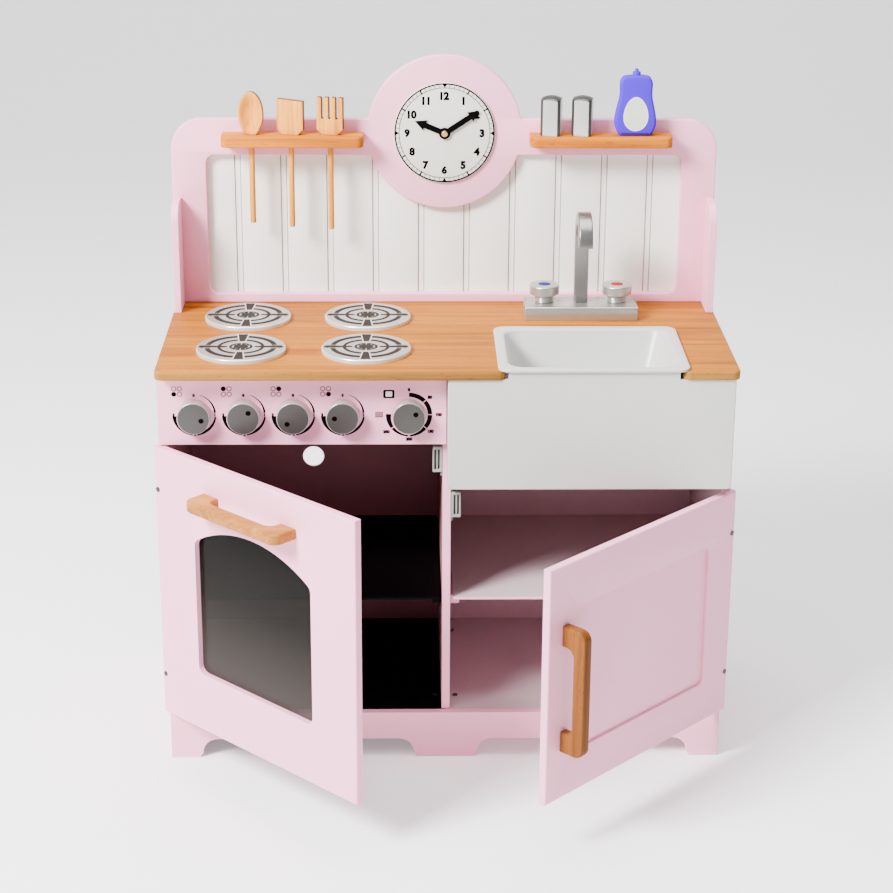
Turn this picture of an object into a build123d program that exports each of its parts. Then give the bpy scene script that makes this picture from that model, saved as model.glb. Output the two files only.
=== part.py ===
from build123d import *
import os

# A child's play kitchen in painted wood. Seen from the front, the oven bay and the hob are on the left and
# the cupboard and the sink on the right, under one worktop. A backboard carries a clock and two shelves.
# Millimetres. X runs to the right seen from the front, Y to the back, Z up.
# The origin is on the floor, under the middle of the plinth.

# Boards and carcass
board = 9.0
cabinet_width = 600.0
carcass_depth = 236.5
carcass_height = 443.7
back_thickness = 3.0
back_floor_gap = 22.0
worktop_overhang = 24.0
worktop_corner = 9.0
edge_rounding = 1.5
board_gap = 1.0
bearer_width = 32.0
bearer_height = 24.0
vent_diameter = 24.0
vent_height = 261.0

# Plinth
plinth_height = 54.0
arch_height = 22.0
arch_corner = 15.65
foot_half_width = 31.5
foot_flare = 3.5
foot_flare_height = 6.0

# Backboard, clock disc, grooved panel and wings
backboard_height = 208.3
backboard_inset = 11.5
backboard_corner = 34.0
bulge_radius = 84.75
bulge_height = 193.6
bulge_blend = 4.0
frame_side = 38.0
frame_bottom = 10.4
frame_top = 40.2
frame_corner = 10.0
grooved_thickness = 4.0
grooved_margin = 10.0
groove_pitch = 50.7
groove_width = 7.4
groove_depth = 1.0
groove_count = 10
wing_thickness = 8.0
wing_inset = 1.5
wing_depth = 42.1
wing_height = 121.3
wing_corner = 20.0

# Clock
dial_diameter = 111.0
dial_thickness = 3.0
dial_drop = 0.3
hand_thickness = 1.2
hand_width = 6.2
hand_hub_diameter = 12.4
minute_hand_length = 45.5
minute_hand_angle = 56.5
hour_hand_length = 35.2
hour_hand_angle = 292.5
arrow_width = 12.4
arrow_length = 11.0
arrow_sweep = 1.5
clock_pin_diameter = 4.0
clock_pin_head = 6.9
clock_pin_head_height = 1.8
clock_pin_grip = 5.0
hand_gap = 0.3

# Small shelves and the things on them
shelf_bulge_gap = 3.75
shelf_side_margin = 56.5
spice_shelf_shift = 4.6
shelf_depth = 29.5
shelf_thickness = 12.0
shelf_height = 182.3
shelf_corner = 8.0
utensil_pitch = 43.0
utensil_shift = 1.5
utensil_thickness = 8.0
utensil_chamfer = 0.75
dowel_diameter = 6.3
dowel_hole_diameter = 7.0
spoon_width = 27.6
spoon_height = 47.0
spoon_dish = 3.0
spoon_flat = 1.5
spoon_drop = 98.4
spatula_width = 29.3
spatula_height = 40.0
spatula_slant = 4.0
spatula_chamfer = 6.0
spatula_drop = 102.8
fork_width = 29.3
fork_height = 41.0
fork_chamfer = 6.0
fork_slot_width = 2.2
fork_slot_depth = 23.3
fork_drop = 105.6
shaker_width = 21.8
shaker_height = 43.3
shaker_chamfer = 3.0
shaker_dome_radius = 24.0
shaker_turn = -12.0
shaker_hole_diameter = 1.6
shaker_hole_depth = 3.0
shaker_hole_pitch = 4.5
shaker_inset = 22.865
shaker_pitch = 33.8
bottle_offset = 36.6
bottle_base = 33.0
bottle_belly = 45.3
bottle_belly_height = 17.0
bottle_waist = 36.6
bottle_waist_height = 43.0
bottle_shoulder = 35.8
bottle_shoulder_height = 53.0
bottle_height = 65.6
bottle_thickness = 14.0
bottle_edge = 2.5
collar_diameter = 8.7
collar_height = 4.0
tip_diameter = 4.0
tip_height = 3.0

# Hob
burner_thickness = 5.0
burner_edge = 1.6
burner_front_margin = 24.5
burner_back_margin = 18.0
burner_row_gap = 21.5
burner_column_gap = 37.0
knob_base_diameter = 34.8
knob_face_diameter = 34.0
knob_height = 13.0
knob_edge = 1.0
knob_gap = 0.4
knob_dot_diameter = 5.0
knob_dot_radius = 8.3
knob_dot_depth = 0.4
knob_bore_depth = 8.0
knob_drop = 45.0
hob_knob_pitch = 51.2
hob_knob_start = 38.0
oven_knob_inset = 39.8
hob_dot_angles = (-15.0, 49.0, -136.0, 179.0)
oven_dot_angle = 32.0
spindle_diameter = 6.0
spindle_head_diameter = 12.0
spindle_head_height = 3.0
control_panel_height = 77.7

# Sink
sink_front_height = 120.7
sink_front_reach = 21.5
sink_front_inset = 4.0
sink_wall = 6.0
sink_corner = 5.0
sink_edge = 1.5
tongue_gap = 3.2
rim_side_rest = 7.3
rim_back_rest = 10.0
slot_back_corner = 12.0
slot_front_corner = 8.0
rail_drop = 7.5
rail_cut_margin = 2.6
rail_cut_clearance = 6.0
rim_width = 197.0
rim_front = 1.0
rim_depth = 151.5
rim_thickness = 3.0
rim_corner = 12.0
rim_edge = 1.2
bowl_margin = 12.5
bowl_front_margin = 11.6
bowl_back_margin = 13.0
bowl_depth = 60.0
bowl_wall = 1.6
bowl_taper = 20.0
bowl_corner = 20.0
bowl_floor_radius = 8.0

# Tap
tap_base_width = 124.0
tap_base_depth = 44.0
tap_base_height = 15.4
tap_base_back = 49.6
tap_base_chamfer = 2.0
tap_gap = 0.3
tap_axis_setback = 24.6
tap_knob_offset = 40.0
tap_stem_diameter = 21.0
tap_stem_height = 6.1
tap_flare_height = 3.5
tap_knob_diameter = 33.0
tap_disc_height = 10.0
tap_disc_chamfer = 1.5
tap_dot_diameter = 14.0
tap_dot_depth = 0.6
tap_dowel_diameter = 6.0
tap_dowel_seat = 10.0
tap_knob_bore = 14.0
spout_width = 15.0
spout_thickness = 13.0
spout_height = 74.6
spout_bend_radius = 31.75
spout_edge = 1.5
spout_dowel_diameter = 7.0
spout_bore = 20.0

# Inside the bays
sheet = 3.0
bay_shelf_height = 187.0
bay_shelf_gap = 2.8
bay_shelf_front_gap = 1.5
batten = 10.0
batten_end_gap = 14.0
catch_width = 10.5
catch_height = 28.6
catch_depth = 14.0
catch_ear = 4.8
catch_ear_thickness = 2.0
catch_ear_depth = 9.0
catch_drop = 4.0
catch_setback = 0.7
floor_screw_offset = 11.0
floor_screw_front = 32.5
floor_screw_back = 35.0
floor_screw_head = 6.0
floor_screw_head_height = 1.2
floor_screw_diameter = 3.4
floor_screw_length = 24.0

# Doors
door_thickness = 8.6
door_gap = 0.4
door_meeting_gap = 0.7
door_bottom_gap = 2.0
oven_top_gap = 2.4
cupboard_top_gap = 3.1
door_edge = 2.0
oven_open_angle = 44.5
cupboard_open_angle = 45.3
window_left = 61.0
window_right = 64.0
window_bottom = 67.0
window_top = 63.6
window_arch_radius = 158.0
window_corner = 9.0
window_rebate = 6.0
pane_thickness = 2.0
pane_inset = 0.4
pane_gap = 0.3
field_left = 44.5
field_right = 45.0
field_bottom = 46.0
field_top = 49.9
field_corner = 7.0
field_depth = 3.0
handle_length = 138.0
handle_width = 12.0
handle_reach = 29.0
handle_foot = 22.0
handle_finger_gap = 14.5
handle_inner_corner = 9.0
handle_outer_corner = 10.0
handle_edge = 1.5
oven_handle_shift = 2.0
oven_handle_drop = 36.6
cupboard_handle_inset = 26.0
cupboard_handle_bottom = 54.0
strike_width = 9.0
strike_height = 24.0
strike_thickness = 0.8
strike_inset = 1.0
handle_screw_diameter = 3.4
handle_screw_head = 7.0
handle_screw_head_height = 1.6
handle_screw_bite = 12.0

# Knuckle hinges
hinge_length = 40.0
hinge_end = 47.0
knuckle_diameter = 5.2
knuckle_length = 16.0
knuckle_gap = 0.3
knuckle_clearance = 0.4
hinge_pin_diameter = 2.0
hinge_pin_head = 3.0
hinge_pin_head_height = 0.8
pin_inset = 0.2
leaf_width = 7.0
leaf_thickness = 1.0
hinge_screw_inset = 5.2
hinge_screw_diameter = 2.4
hinge_screw_head = 5.4
hinge_screw_head_height = 0.8
leaf_screw_inset = 4.6
leaf_screw_spacing = 24.0
leaf_screw_diameter = 1.6
leaf_screw_head = 3.2
leaf_screw_head_height = 0.5
leaf_screw_length = 12.0

# Fits
running_fit = 0.05
fixed_fit = 0.02
recess_fit = 0.1

# Planes that several pieces share
half_width = cabinet_width / 2
half_board = board / 2
carcass_back = half_board + carcass_depth
cabinet_back = carcass_back + back_thickness
worktop_top = carcass_height + board
worktop_front = -half_board - worktop_overhang
rim_front_line = worktop_front - rim_front
rim_back_line = rim_front_line + rim_depth
slot_width = rim_width - 2 * rim_side_rest
slot_back = rim_back_line - rim_back_rest
inner_side = half_width - board
backboard_front = cabinet_back - backboard_inset - board
backboard_back = backboard_front + board
bay_centre = half_width / 2
burner_front_line = worktop_front + burner_front_margin
burner_back_line = backboard_front - burner_back_margin
burner_diameter = (burner_back_line - burner_front_line - burner_row_gap) / 2
shelf_width = half_width - shelf_side_margin - bulge_radius - shelf_bulge_gap
shelf_offset = half_width - shelf_side_margin - shelf_width / 2
spice_shelf_middle = shelf_offset + spice_shelf_shift
shelf_top = worktop_top + shelf_height + shelf_thickness
shelf_line = backboard_front - shelf_depth / 2
sink_face = -half_board - sink_front_reach
rail_bottom = carcass_height - sink_front_height - rail_drop
control_panel_bottom = carcass_height - control_panel_height
clock_height = worktop_top + bulge_height - dial_drop
dial_front = backboard_front - dial_thickness
tap_axis = cabinet_back - tap_base_back - tap_base_depth + tap_axis_setback
tap_base_top = worktop_top + tap_base_height
tap_foot = tap_base_top + tap_gap
pin_line = half_board - pin_inset
door_back = half_board - door_gap
door_front = door_back - door_thickness
door_bottom = plinth_height + door_bottom_gap
oven_door_top = control_panel_bottom - oven_top_gap
cupboard_door_top = rail_bottom - cupboard_top_gap
pin_bore = hinge_pin_diameter + 2 * running_fit


# A block between two opposite corners.
def block(x0, x1, y0, y1, z0, z1):
    middle = Pos((x0 + x1) / 2, (y0 + y1) / 2, (z0 + z1) / 2)
    return middle * Box(x1 - x0, y1 - y0, z1 - z0)


# A rectangle between two opposite corners.
def frame_rectangle(u0, u1, v0, v1):
    return Pos((u0 + u1) / 2, (v0 + v1) / 2) * Rectangle(u1 - u0, v1 - v0)


# An outline drawn as seen from the front, X across and Z up, given its thickness from y0 to y1.
def front_plate(outline, y0, y1):
    return Pos(0, y1, 0) * extrude(Plane.XZ * outline, y1 - y0)


# An outline drawn as seen from the right, Y across and Z up, given its thickness from x0 to x1.
def side_plate(outline, x0, x1):
    return Pos(x0, 0, 0) * extrude(Plane.YZ * outline, x1 - x0)


# An outline drawn as seen from above, given its thickness from z0 to z1.
def floor_plate(outline, z0, z1):
    return Pos(0, 0, z0) * extrude(outline, z1 - z0)


# A round bar that starts at a point and runs to the back.
def bar_to_back(x, y0, y1, z, diameter):
    return Pos(x, (y0 + y1) / 2, z) * Rot(90, 0, 0) * Cylinder(diameter / 2, y1 - y0)


# An upright round bar.
def upright_bar(x, y, z0, z1, diameter):
    return Pos(x, y, (z0 + z1) / 2) * Cylinder(diameter / 2, z1 - z0)


# The corners of an outline that lie at one end of an axis.
def end_corners(outline, axis, end):
    return outline.vertices().group_by(axis)[end]


def mirrored(shape):
    return mirror(shape, Plane.YZ)


# One arch of the plinth: flared feet below, rounded corners above.
def arch_outline():
    far = half_width - foot_half_width
    outline = Polygon(
        (foot_half_width, 0),
        (foot_half_width + foot_flare, foot_flare_height),
        (foot_half_width + foot_flare, arch_height),
        (far - foot_flare, arch_height),
        (far - foot_flare, foot_flare_height),
        (far, 0),
        align=None,
    )
    return fillet(end_corners(outline, Axis.Y, -1), arch_corner)


def make_plinth():
    arch = arch_outline()
    outline = frame_rectangle(-half_width, half_width, 0, plinth_height) - arch - mirror(arch, Plane.YZ)
    return front_plate(outline, -half_board, half_board)


# The hinge positions on one door, as heights.
def hinge_heights(top):
    return (door_bottom + hinge_end, top - hinge_end)


# What a hinge needs cut out of the wood round its pin, on the left side.
def knuckle_notch(height):
    length = hinge_length + 2 * (hinge_pin_head_height + knuckle_clearance)
    diameter = knuckle_diameter + 2 * knuckle_clearance
    return upright_bar(-half_width, pin_line, height - length / 2, height + length / 2, diameter)


# The housing for the leaf that is let into the front edge of a side panel.
def frame_leaf_housing(height):
    half = hinge_length / 2 + recess_fit
    right = -half_width + leaf_width + recess_fit
    return block(-half_width - board, right, 0, half_board + leaf_thickness, height - half, height + half)


# The housing for the leaf that is let into the back of a door.
def door_leaf_housing(height):
    half = hinge_length / 2 + recess_fit
    right = -half_width + leaf_width + recess_fit
    return block(-half_width - board, right, door_back - leaf_thickness, board, height - half, height + half)


# The two small screws of one fixed leaf, as x, z places.
def leaf_screw_places(height):
    x = -half_width + leaf_screw_inset
    return [(x, height - leaf_screw_spacing / 2), (x, height + leaf_screw_spacing / 2)]


# A side panel as it is on the left; the right one is its mirror image with its own hinge heights.
def side_panel(top):
    panel = block(-half_width, -inner_side, half_board, carcass_back, 0, carcass_height)
    for height in hinge_heights(top):
        panel -= knuckle_notch(height)
        panel -= frame_leaf_housing(height)
        for x, z in leaf_screw_places(height):
            hole = leaf_screw_diameter + 2 * fixed_fit
            panel -= bar_to_back(x, 0, half_board + leaf_screw_length + running_fit, z, hole)
    return panel


def make_divider():
    return block(-half_board, half_board, half_board, carcass_back, plinth_height, carcass_height)


# The places of the four screws that hold the base boards to the bearer.
def floor_screw_places():
    rows = (half_board + floor_screw_front, carcass_back - floor_screw_back)
    return [(side * floor_screw_offset, y) for side in (-1, 1) for y in rows]


# The base board of the left bay.
def base_board():
    panel = block(-inner_side, 0, half_board, carcass_back, plinth_height - board, plinth_height)
    for x, y in floor_screw_places():
        hole = floor_screw_diameter + 2 * fixed_fit
        panel -= upright_bar(x, y, 0, plinth_height + board, hole)
    return panel


def make_bearer():
    top = plinth_height - board
    bearer = block(-bearer_width / 2, bearer_width / 2, half_board, carcass_back, top - bearer_height, top)
    for x, y in floor_screw_places():
        hole = floor_screw_diameter + 2 * fixed_fit
        bearer -= upright_bar(x, y, plinth_height - floor_screw_length - running_fit, plinth_height, hole)
    return bearer


def make_back_panel():
    outline = frame_rectangle(-half_width, half_width, back_floor_gap, carcass_height)
    for side in (-1, 1):
        outline -= Pos(side * bay_centre, vent_height) * Circle(vent_diameter / 2)
    return front_plate(outline, carcass_back, cabinet_back)


# The worktop, with the slot for the sink open at its front edge.
def make_worktop():
    left = bay_centre - slot_width / 2
    right = bay_centre + slot_width / 2
    outline = frame_rectangle(-half_width, half_width, worktop_front, cabinet_back)
    outline -= frame_rectangle(left, right, worktop_front, slot_back)
    front = end_corners(outline, Axis.Y, 0)
    outer = [corner for corner in front if abs(corner.X) > right + slot_front_corner]
    outline = fillet(outer, worktop_corner)
    mouth = [corner for corner in end_corners(outline, Axis.Y, 0) if left - 1 < corner.X < right + 1]
    outline = fillet(mouth, slot_front_corner)
    inner = [corner for corner in outline.vertices() if abs(corner.Y - slot_back) < 1]
    outline = fillet(inner, slot_back_corner)
    worktop = floor_plate(outline, carcass_height, worktop_top)
    worktop = fillet(worktop.faces().sort_by(Axis.Z)[-1].edges(), edge_rounding)
    return worktop


# The outer shape of the backboard: a board with two round corners and the clock disc blended into its top.
def backboard_outline():
    top = worktop_top + backboard_height
    outline = frame_rectangle(-half_width, half_width, worktop_top, top)
    outline = fillet(end_corners(outline, Axis.Y, -1), backboard_corner)
    outline += Pos(0, worktop_top + bulge_height) * Circle(bulge_radius)
    joins = [
        corner for corner in outline.vertices()
        if abs(corner.Y - top) < 0.01 and abs(corner.X) < bulge_radius
    ]
    return fillet(joins, bulge_blend)


# The window in the backboard through which the grooved panel shows; the clock disc hangs into it.
def backboard_window():
    top = worktop_top + backboard_height - frame_top
    side = half_width - frame_side
    window = frame_rectangle(-side, side, worktop_top + frame_bottom, top)
    window = fillet(window.vertices(), frame_corner)
    return window - Pos(0, worktop_top + bulge_height) * Circle(bulge_radius)


def make_backboard():
    plate = front_plate(backboard_outline() - backboard_window(), backboard_front, backboard_back)
    hole = clock_pin_diameter + 2 * fixed_fit
    end = backboard_front + clock_pin_grip + running_fit
    return plate - bar_to_back(0, backboard_front - 1, end, clock_height, hole)


# The panel behind the window, with shallow upright channels in its front.
def make_grooved_panel():
    side = half_width - frame_side + grooved_margin
    top = worktop_top + backboard_height - frame_top + grooved_margin
    panel = block(-side, side, backboard_back, backboard_back + grooved_thickness, worktop_top, top)
    first = -groove_pitch * (groove_count - 1) / 2
    for index in range(groove_count):
        x = first + index * groove_pitch
        left = x - groove_width / 2
        right = x + groove_width / 2
        panel -= block(left, right, backboard_front, backboard_back + groove_depth, worktop_top - 1, top + 1)
    return panel


def make_wing_left():
    front = backboard_front - wing_depth
    outline = frame_rectangle(front, backboard_front, worktop_top, worktop_top + wing_height)
    upper = end_corners(outline, Axis.Y, -1)
    outline = fillet(upper.sort_by(Axis.X)[0], wing_corner)
    outer = -half_width + wing_inset
    return side_plate(outline, outer, outer + wing_thickness)


# The places of the four hob knobs and then the oven knob, as x values.
def knob_places():
    first = -half_width + hob_knob_start
    hob = [first + index * hob_knob_pitch for index in range(len(hob_dot_angles))]
    return hob + [-oven_knob_inset]


def knob_line():
    return carcass_height - knob_drop


def make_control_panel():
    panel = block(-half_width, -board_gap, -half_board, half_board, control_panel_bottom, carcass_height)
    for x in knob_places():
        hole = spindle_diameter + 2 * fixed_fit
        panel -= bar_to_back(x, -board, board, knob_line(), hole)
    return panel


# A knob that tapers towards its face, with a small dimple as its pointer and a blind bore at its back.
def control_knob(x, dot_angle):
    body = Pos(0, 0, knob_height / 2) * Cone(knob_base_diameter / 2, knob_face_diameter / 2, knob_height)
    body = fillet(body.edges().sort_by(Axis.Z)[-1:], knob_edge)
    dot = Pos(knob_dot_radius, 0, knob_height) * Cylinder(knob_dot_diameter / 2, 2 * knob_dot_depth)
    dot = Rot(0, 0, dot_angle) * dot
    bore = Cylinder(spindle_diameter / 2 + running_fit, 2 * (knob_bore_depth + running_fit))
    return Pos(x, -half_board - knob_gap, knob_line()) * Rot(90, 0, 0) * (body - dot - bore)


# The bolts that the five front knobs turn on, each with its head behind the control panel.
def make_knob_spindles():
    front = -half_board - knob_bore_depth
    back = half_board + spindle_head_height
    spindles = []
    for x in knob_places():
        shank = bar_to_back(x, front, half_board, knob_line(), spindle_diameter)
        head = bar_to_back(x, half_board, back, knob_line(), spindle_head_diameter)
        spindles.append(shank + head)
    return spindles


# One burner plate; column and row count from the left and from the front.
def burner(column, row):
    radius = burner_diameter / 2
    x = -bay_centre + (2 * column - 1) * (radius + burner_column_gap / 2)
    y = (burner_front_line + radius, burner_back_line - radius)[row]
    disc = Cylinder(radius, burner_thickness)
    disc = fillet(disc.edges().sort_by(Axis.Z)[-1:], burner_edge)
    return Pos(x, y, worktop_top + burner_thickness / 2) * disc


# The fixed sink front: a shallow tray set on edge, with a tongue that fills the slot of the worktop.
def make_sink_front():
    left = 0
    right = half_width - sink_front_inset
    bottom = carcass_height - sink_front_height
    tray = block(left, right, sink_face, -half_board, bottom, carcass_height)
    lower = tray.edges().filter_by(Axis.Y).group_by(Axis.Z)[0]
    tray = fillet(lower, sink_corner)
    rim = [
        edge for edge in tray.faces().sort_by(Axis.Y)[0].edges()
        if edge.center().Z < carcass_height - 1
    ]
    tray = fillet(rim, sink_edge)
    tray -= block(
        left + sink_wall, right - sink_wall, sink_face + sink_wall, 0, bottom + sink_wall, carcass_height + 1
    )
    reach = slot_width / 2 - tongue_gap
    tongue = block(
        bay_centre - reach, bay_centre + reach,
        sink_face, sink_face + sink_wall, carcass_height - 1, worktop_top
    )
    return tray + tongue


# The rail behind the sink front, cut out round the basin.
def make_sink_rail():
    left = board_gap
    right = half_width - board_gap
    outline = frame_rectangle(left, right, rail_bottom, carcass_height)
    reach = rim_width / 2 - bowl_margin + bowl_wall + rail_cut_margin
    bottom = worktop_top - bowl_depth - bowl_wall - rail_cut_clearance
    cut = frame_rectangle(bay_centre - reach, bay_centre + reach, bottom, carcass_height + bowl_corner)
    cut = fillet(end_corners(cut, Axis.Y, 0), bowl_corner)
    return front_plate(outline - cut, -half_board, half_board)


# One skin of the bowl, widened by a margin: a rounded outline that tapers inwards to a round-edged floor.
def bowl_skin(margin, depth):
    front = rim_front_line + bowl_front_margin - margin
    back = rim_back_line - bowl_back_margin + margin
    width = rim_width - 2 * bowl_margin + 2 * margin
    outline = RectangleRounded(width, back - front, bowl_corner + margin)
    outline = Pos(bay_centre, (front + back) / 2) * outline
    skin = Pos(0, 0, worktop_top) * extrude(outline, -depth, taper=bowl_taper)
    return fillet(skin.faces().sort_by(Axis.Z)[0].edges(), bowl_floor_radius + margin)


# The lift-out basin: a flat rim with a rounded edge round a tapering bowl.
def make_sink_basin():
    middle = (rim_front_line + rim_back_line) / 2
    rim = Pos(bay_centre, middle) * RectangleRounded(rim_width, rim_depth, rim_corner)
    rim = floor_plate(rim, worktop_top, worktop_top + rim_thickness)
    rim = fillet(rim.faces().sort_by(Axis.Z)[-1].edges(), rim_edge)
    mouth_front = rim_front_line + bowl_front_margin
    mouth_back = rim_back_line - bowl_back_margin
    mouth = Pos(bay_centre, (mouth_front + mouth_back) / 2) * RectangleRounded(
        rim_width - 2 * bowl_margin, mouth_back - mouth_front, bowl_corner
    )
    mouth = floor_plate(mouth, worktop_top, worktop_top + rim_thickness + 1)
    return rim + bowl_skin(bowl_wall, bowl_depth + bowl_wall) - bowl_skin(0, bowl_depth) - mouth


def tap_knob_places():
    return (bay_centre - tap_knob_offset, bay_centre + tap_knob_offset)


def make_tap_base():
    y0 = cabinet_back - tap_base_back - tap_base_depth
    base = block(
        bay_centre - tap_base_width / 2, bay_centre + tap_base_width / 2,
        y0, y0 + tap_base_depth, worktop_top, tap_base_top
    )
    base = chamfer(base.faces().sort_by(Axis.Z)[-1].edges(), tap_base_chamfer)
    seat = tap_base_top - tap_dowel_seat - running_fit
    for x in tap_knob_places():
        base -= upright_bar(x, tap_axis, seat, tap_base_top + 1, tap_dowel_diameter + 2 * fixed_fit)
    base -= upright_bar(bay_centre, tap_axis, seat, tap_base_top + 1, spout_dowel_diameter + 2 * fixed_fit)
    return base


# A tap knob: a round stem that flares into a disc with a shallow round recess on top.
def tap_knob(x):
    stem = tap_stem_diameter / 2
    disc = tap_knob_diameter / 2
    flare_top = tap_stem_height + tap_flare_height
    top = flare_top + tap_disc_height
    profile = Polygon(
        (0, 0), (stem, 0), (stem, tap_stem_height), (disc, flare_top),
        (disc, top - tap_disc_chamfer), (disc - tap_disc_chamfer, top),
        (tap_dot_diameter / 2, top), (tap_dot_diameter / 2, top - tap_dot_depth), (0, top - tap_dot_depth),
        align=None,
    )
    knob = revolve(Plane.XZ * profile, Axis.Z)
    bore = Cylinder(tap_dowel_diameter / 2 + running_fit, 2 * (tap_knob_bore + running_fit))
    return Pos(x, tap_axis, tap_foot) * (knob - bore)


# The swivelling spout: an upright of square section that bends over like a cane.
def make_spout():
    back = tap_axis + spout_thickness / 2
    bend = back - spout_bend_radius
    height = tap_foot + spout_height
    inner = spout_bend_radius - spout_thickness
    upright = frame_rectangle(back - spout_thickness, back, tap_foot, height)
    above = frame_rectangle(bend - spout_bend_radius, back, height, height + spout_bend_radius)
    cane = Pos(bend, height) * (Circle(spout_bend_radius) - Circle(inner))
    outline = upright + (cane & above)
    half = spout_width / 2
    spout = side_plate(outline, bay_centre - half, bay_centre + half)
    flanks = spout.faces().filter_by(Axis.X)
    spout = chamfer(flanks.edges(), spout_edge)
    bore = spout_dowel_diameter + 2 * running_fit
    return spout - upright_bar(bay_centre, tap_axis, 0, tap_foot + spout_bore + running_fit, bore)


# The dowels that the two tap knobs and the spout turn on.
def make_tap_pins():
    seat = tap_base_top - tap_dowel_seat
    top = tap_foot + tap_knob_bore
    pins = [upright_bar(x, tap_axis, seat, top, tap_dowel_diameter) for x in tap_knob_places()]
    pins.append(upright_bar(bay_centre, tap_axis, seat, tap_foot + spout_bore, spout_dowel_diameter))
    return pins


# A small shelf on the front of the backboard, with its two front corners rounded.
def small_shelf(x):
    half = shelf_width / 2
    outline = frame_rectangle(x - half, x + half, backboard_front - shelf_depth, backboard_front)
    outline = fillet(end_corners(outline, Axis.Y, 0), shelf_corner)
    shelf = floor_plate(outline, shelf_top - shelf_thickness, shelf_top)
    upper = shelf.faces().sort_by(Axis.Z)[-1].edges()
    return fillet(upper.sort_by(Axis.Y)[:-1], edge_rounding)


def utensil_places():
    return [-shelf_offset - utensil_shift + step * utensil_pitch for step in (-1, 0, 1)]


def make_utensil_shelf():
    shelf = small_shelf(-shelf_offset)
    for x in utensil_places():
        shelf -= upright_bar(x, shelf_line, worktop_top, shelf_top + 1, dowel_hole_diameter)
    return shelf


# A utensil: its flat head stands on the shelf and its dowel hangs through the hole.
def utensil(x, outline, drop):
    half = utensil_thickness / 2
    head = front_plate(Pos(x, shelf_top) * outline, shelf_line - half, shelf_line + half)
    head = chamfer(head.faces().filter_by(Axis.Y).edges(), utensil_chamfer)
    return head + upright_bar(x, shelf_line, shelf_top - drop, shelf_top + half, dowel_diameter)


def make_spoon():
    x = utensil_places()[0]
    oval = Pos(0, spoon_height / 2 - spoon_flat) * Ellipse(spoon_width / 2, spoon_height / 2 + spoon_flat)
    oval = oval & frame_rectangle(-spoon_width, spoon_width, 0, spoon_height)
    spoon = utensil(x, oval, spoon_drop)
    depth = spoon_dish
    reach = spoon_width / 2 - depth
    radius = (reach * reach + depth * depth) / (2 * depth)
    stretch = (spoon_height - 2 * depth) / (spoon_width - 2 * depth)
    dish = scale(Sphere(radius), by=(1, 1, stretch))
    front = shelf_line - utensil_thickness / 2
    return spoon - Pos(x, front - radius + depth, shelf_top + spoon_height / 2) * dish


def make_spatula():
    half = spatula_width / 2
    outline = Polygon(
        (spatula_chamfer - half, 0), (half - spatula_chamfer, 0), (half, spatula_chamfer),
        (half, spatula_height - spatula_slant), (-half, spatula_height), (-half, spatula_chamfer),
        align=None,
    )
    return utensil(utensil_places()[1], outline, spatula_drop)


# The fork: a block with three narrow slots that leave four tines.
def make_fork():
    half = fork_width / 2
    outline = frame_rectangle(-half, half, 0, fork_height)
    outline = chamfer(end_corners(outline, Axis.Y, 0), fork_chamfer)
    tine = (fork_width - 3 * fork_slot_width) / 4
    slot_half = fork_slot_width / 2
    slot_floor = fork_height - fork_slot_depth
    for step in (-1, 0, 1):
        x = step * (tine + fork_slot_width)
        outline -= frame_rectangle(x - slot_half, x + slot_half, slot_floor, fork_height + 1)
    return utensil(utensil_places()[2], outline, fork_drop)


# A shaker: a square post with chamfered corners, a domed top and its holes, slightly turned on the shelf.
def shaker(x, holes):
    post = Pos(0, 0, shaker_height / 2) * Box(shaker_width, shaker_width, shaker_height)
    post = chamfer(post.edges().filter_by(Axis.Z), shaker_chamfer)
    dome = Pos(0, 0, shaker_height - shaker_dome_radius) * Sphere(shaker_dome_radius)
    lower = upright_bar(0, 0, 0, shaker_height - shaker_dome_radius, 2 * shaker_dome_radius)
    post = post & (dome + lower)
    for u, v in holes:
        top = Pos(u * shaker_hole_pitch, v * shaker_hole_pitch, shaker_height)
        post -= top * Cylinder(shaker_hole_diameter / 2, 2 * shaker_hole_depth)
    return Pos(x, shelf_line, shelf_top) * Rot(0, 0, shaker_turn) * post


def shaker_places():
    first = spice_shelf_middle - shelf_width / 2 + shaker_inset
    return (first, first + shaker_pitch)


# The flat bottle: a pear-like outline with a small collar and tip on top.
def make_bottle():
    with BuildSketch() as outline:
        with BuildLine():
            Line((0, 0), (bottle_base / 2, 0))
            Spline(
                (bottle_base / 2, 0),
                (bottle_belly / 2, bottle_belly_height),
                (bottle_waist / 2, bottle_waist_height),
                (bottle_shoulder / 2, bottle_shoulder_height),
                (0, bottle_height),
                tangents=[(1, 1), (-1, 0)],
            )
            Line((0, bottle_height), (0, 0))
        make_face()
        mirror(about=Plane.YZ)
    half = bottle_thickness / 2
    body = front_plate(outline.sketch, -half, half)
    body = fillet(body.faces().filter_by(Axis.Y).edges(), bottle_edge)
    body += upright_bar(0, 0, bottle_height / 2, bottle_height + collar_height, collar_diameter)
    top = bottle_height + collar_height + tip_height
    body += upright_bar(0, 0, bottle_height / 2, top, tip_diameter)
    return Pos(spice_shelf_middle + bottle_offset, shelf_line, shelf_top) * body


def make_clock_dial():
    dial = Pos(0, clock_height) * Circle(dial_diameter / 2)
    hole = Pos(0, clock_height) * Circle(clock_pin_diameter / 2 + fixed_fit)
    return front_plate(dial - hole, dial_front, backboard_front)


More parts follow.
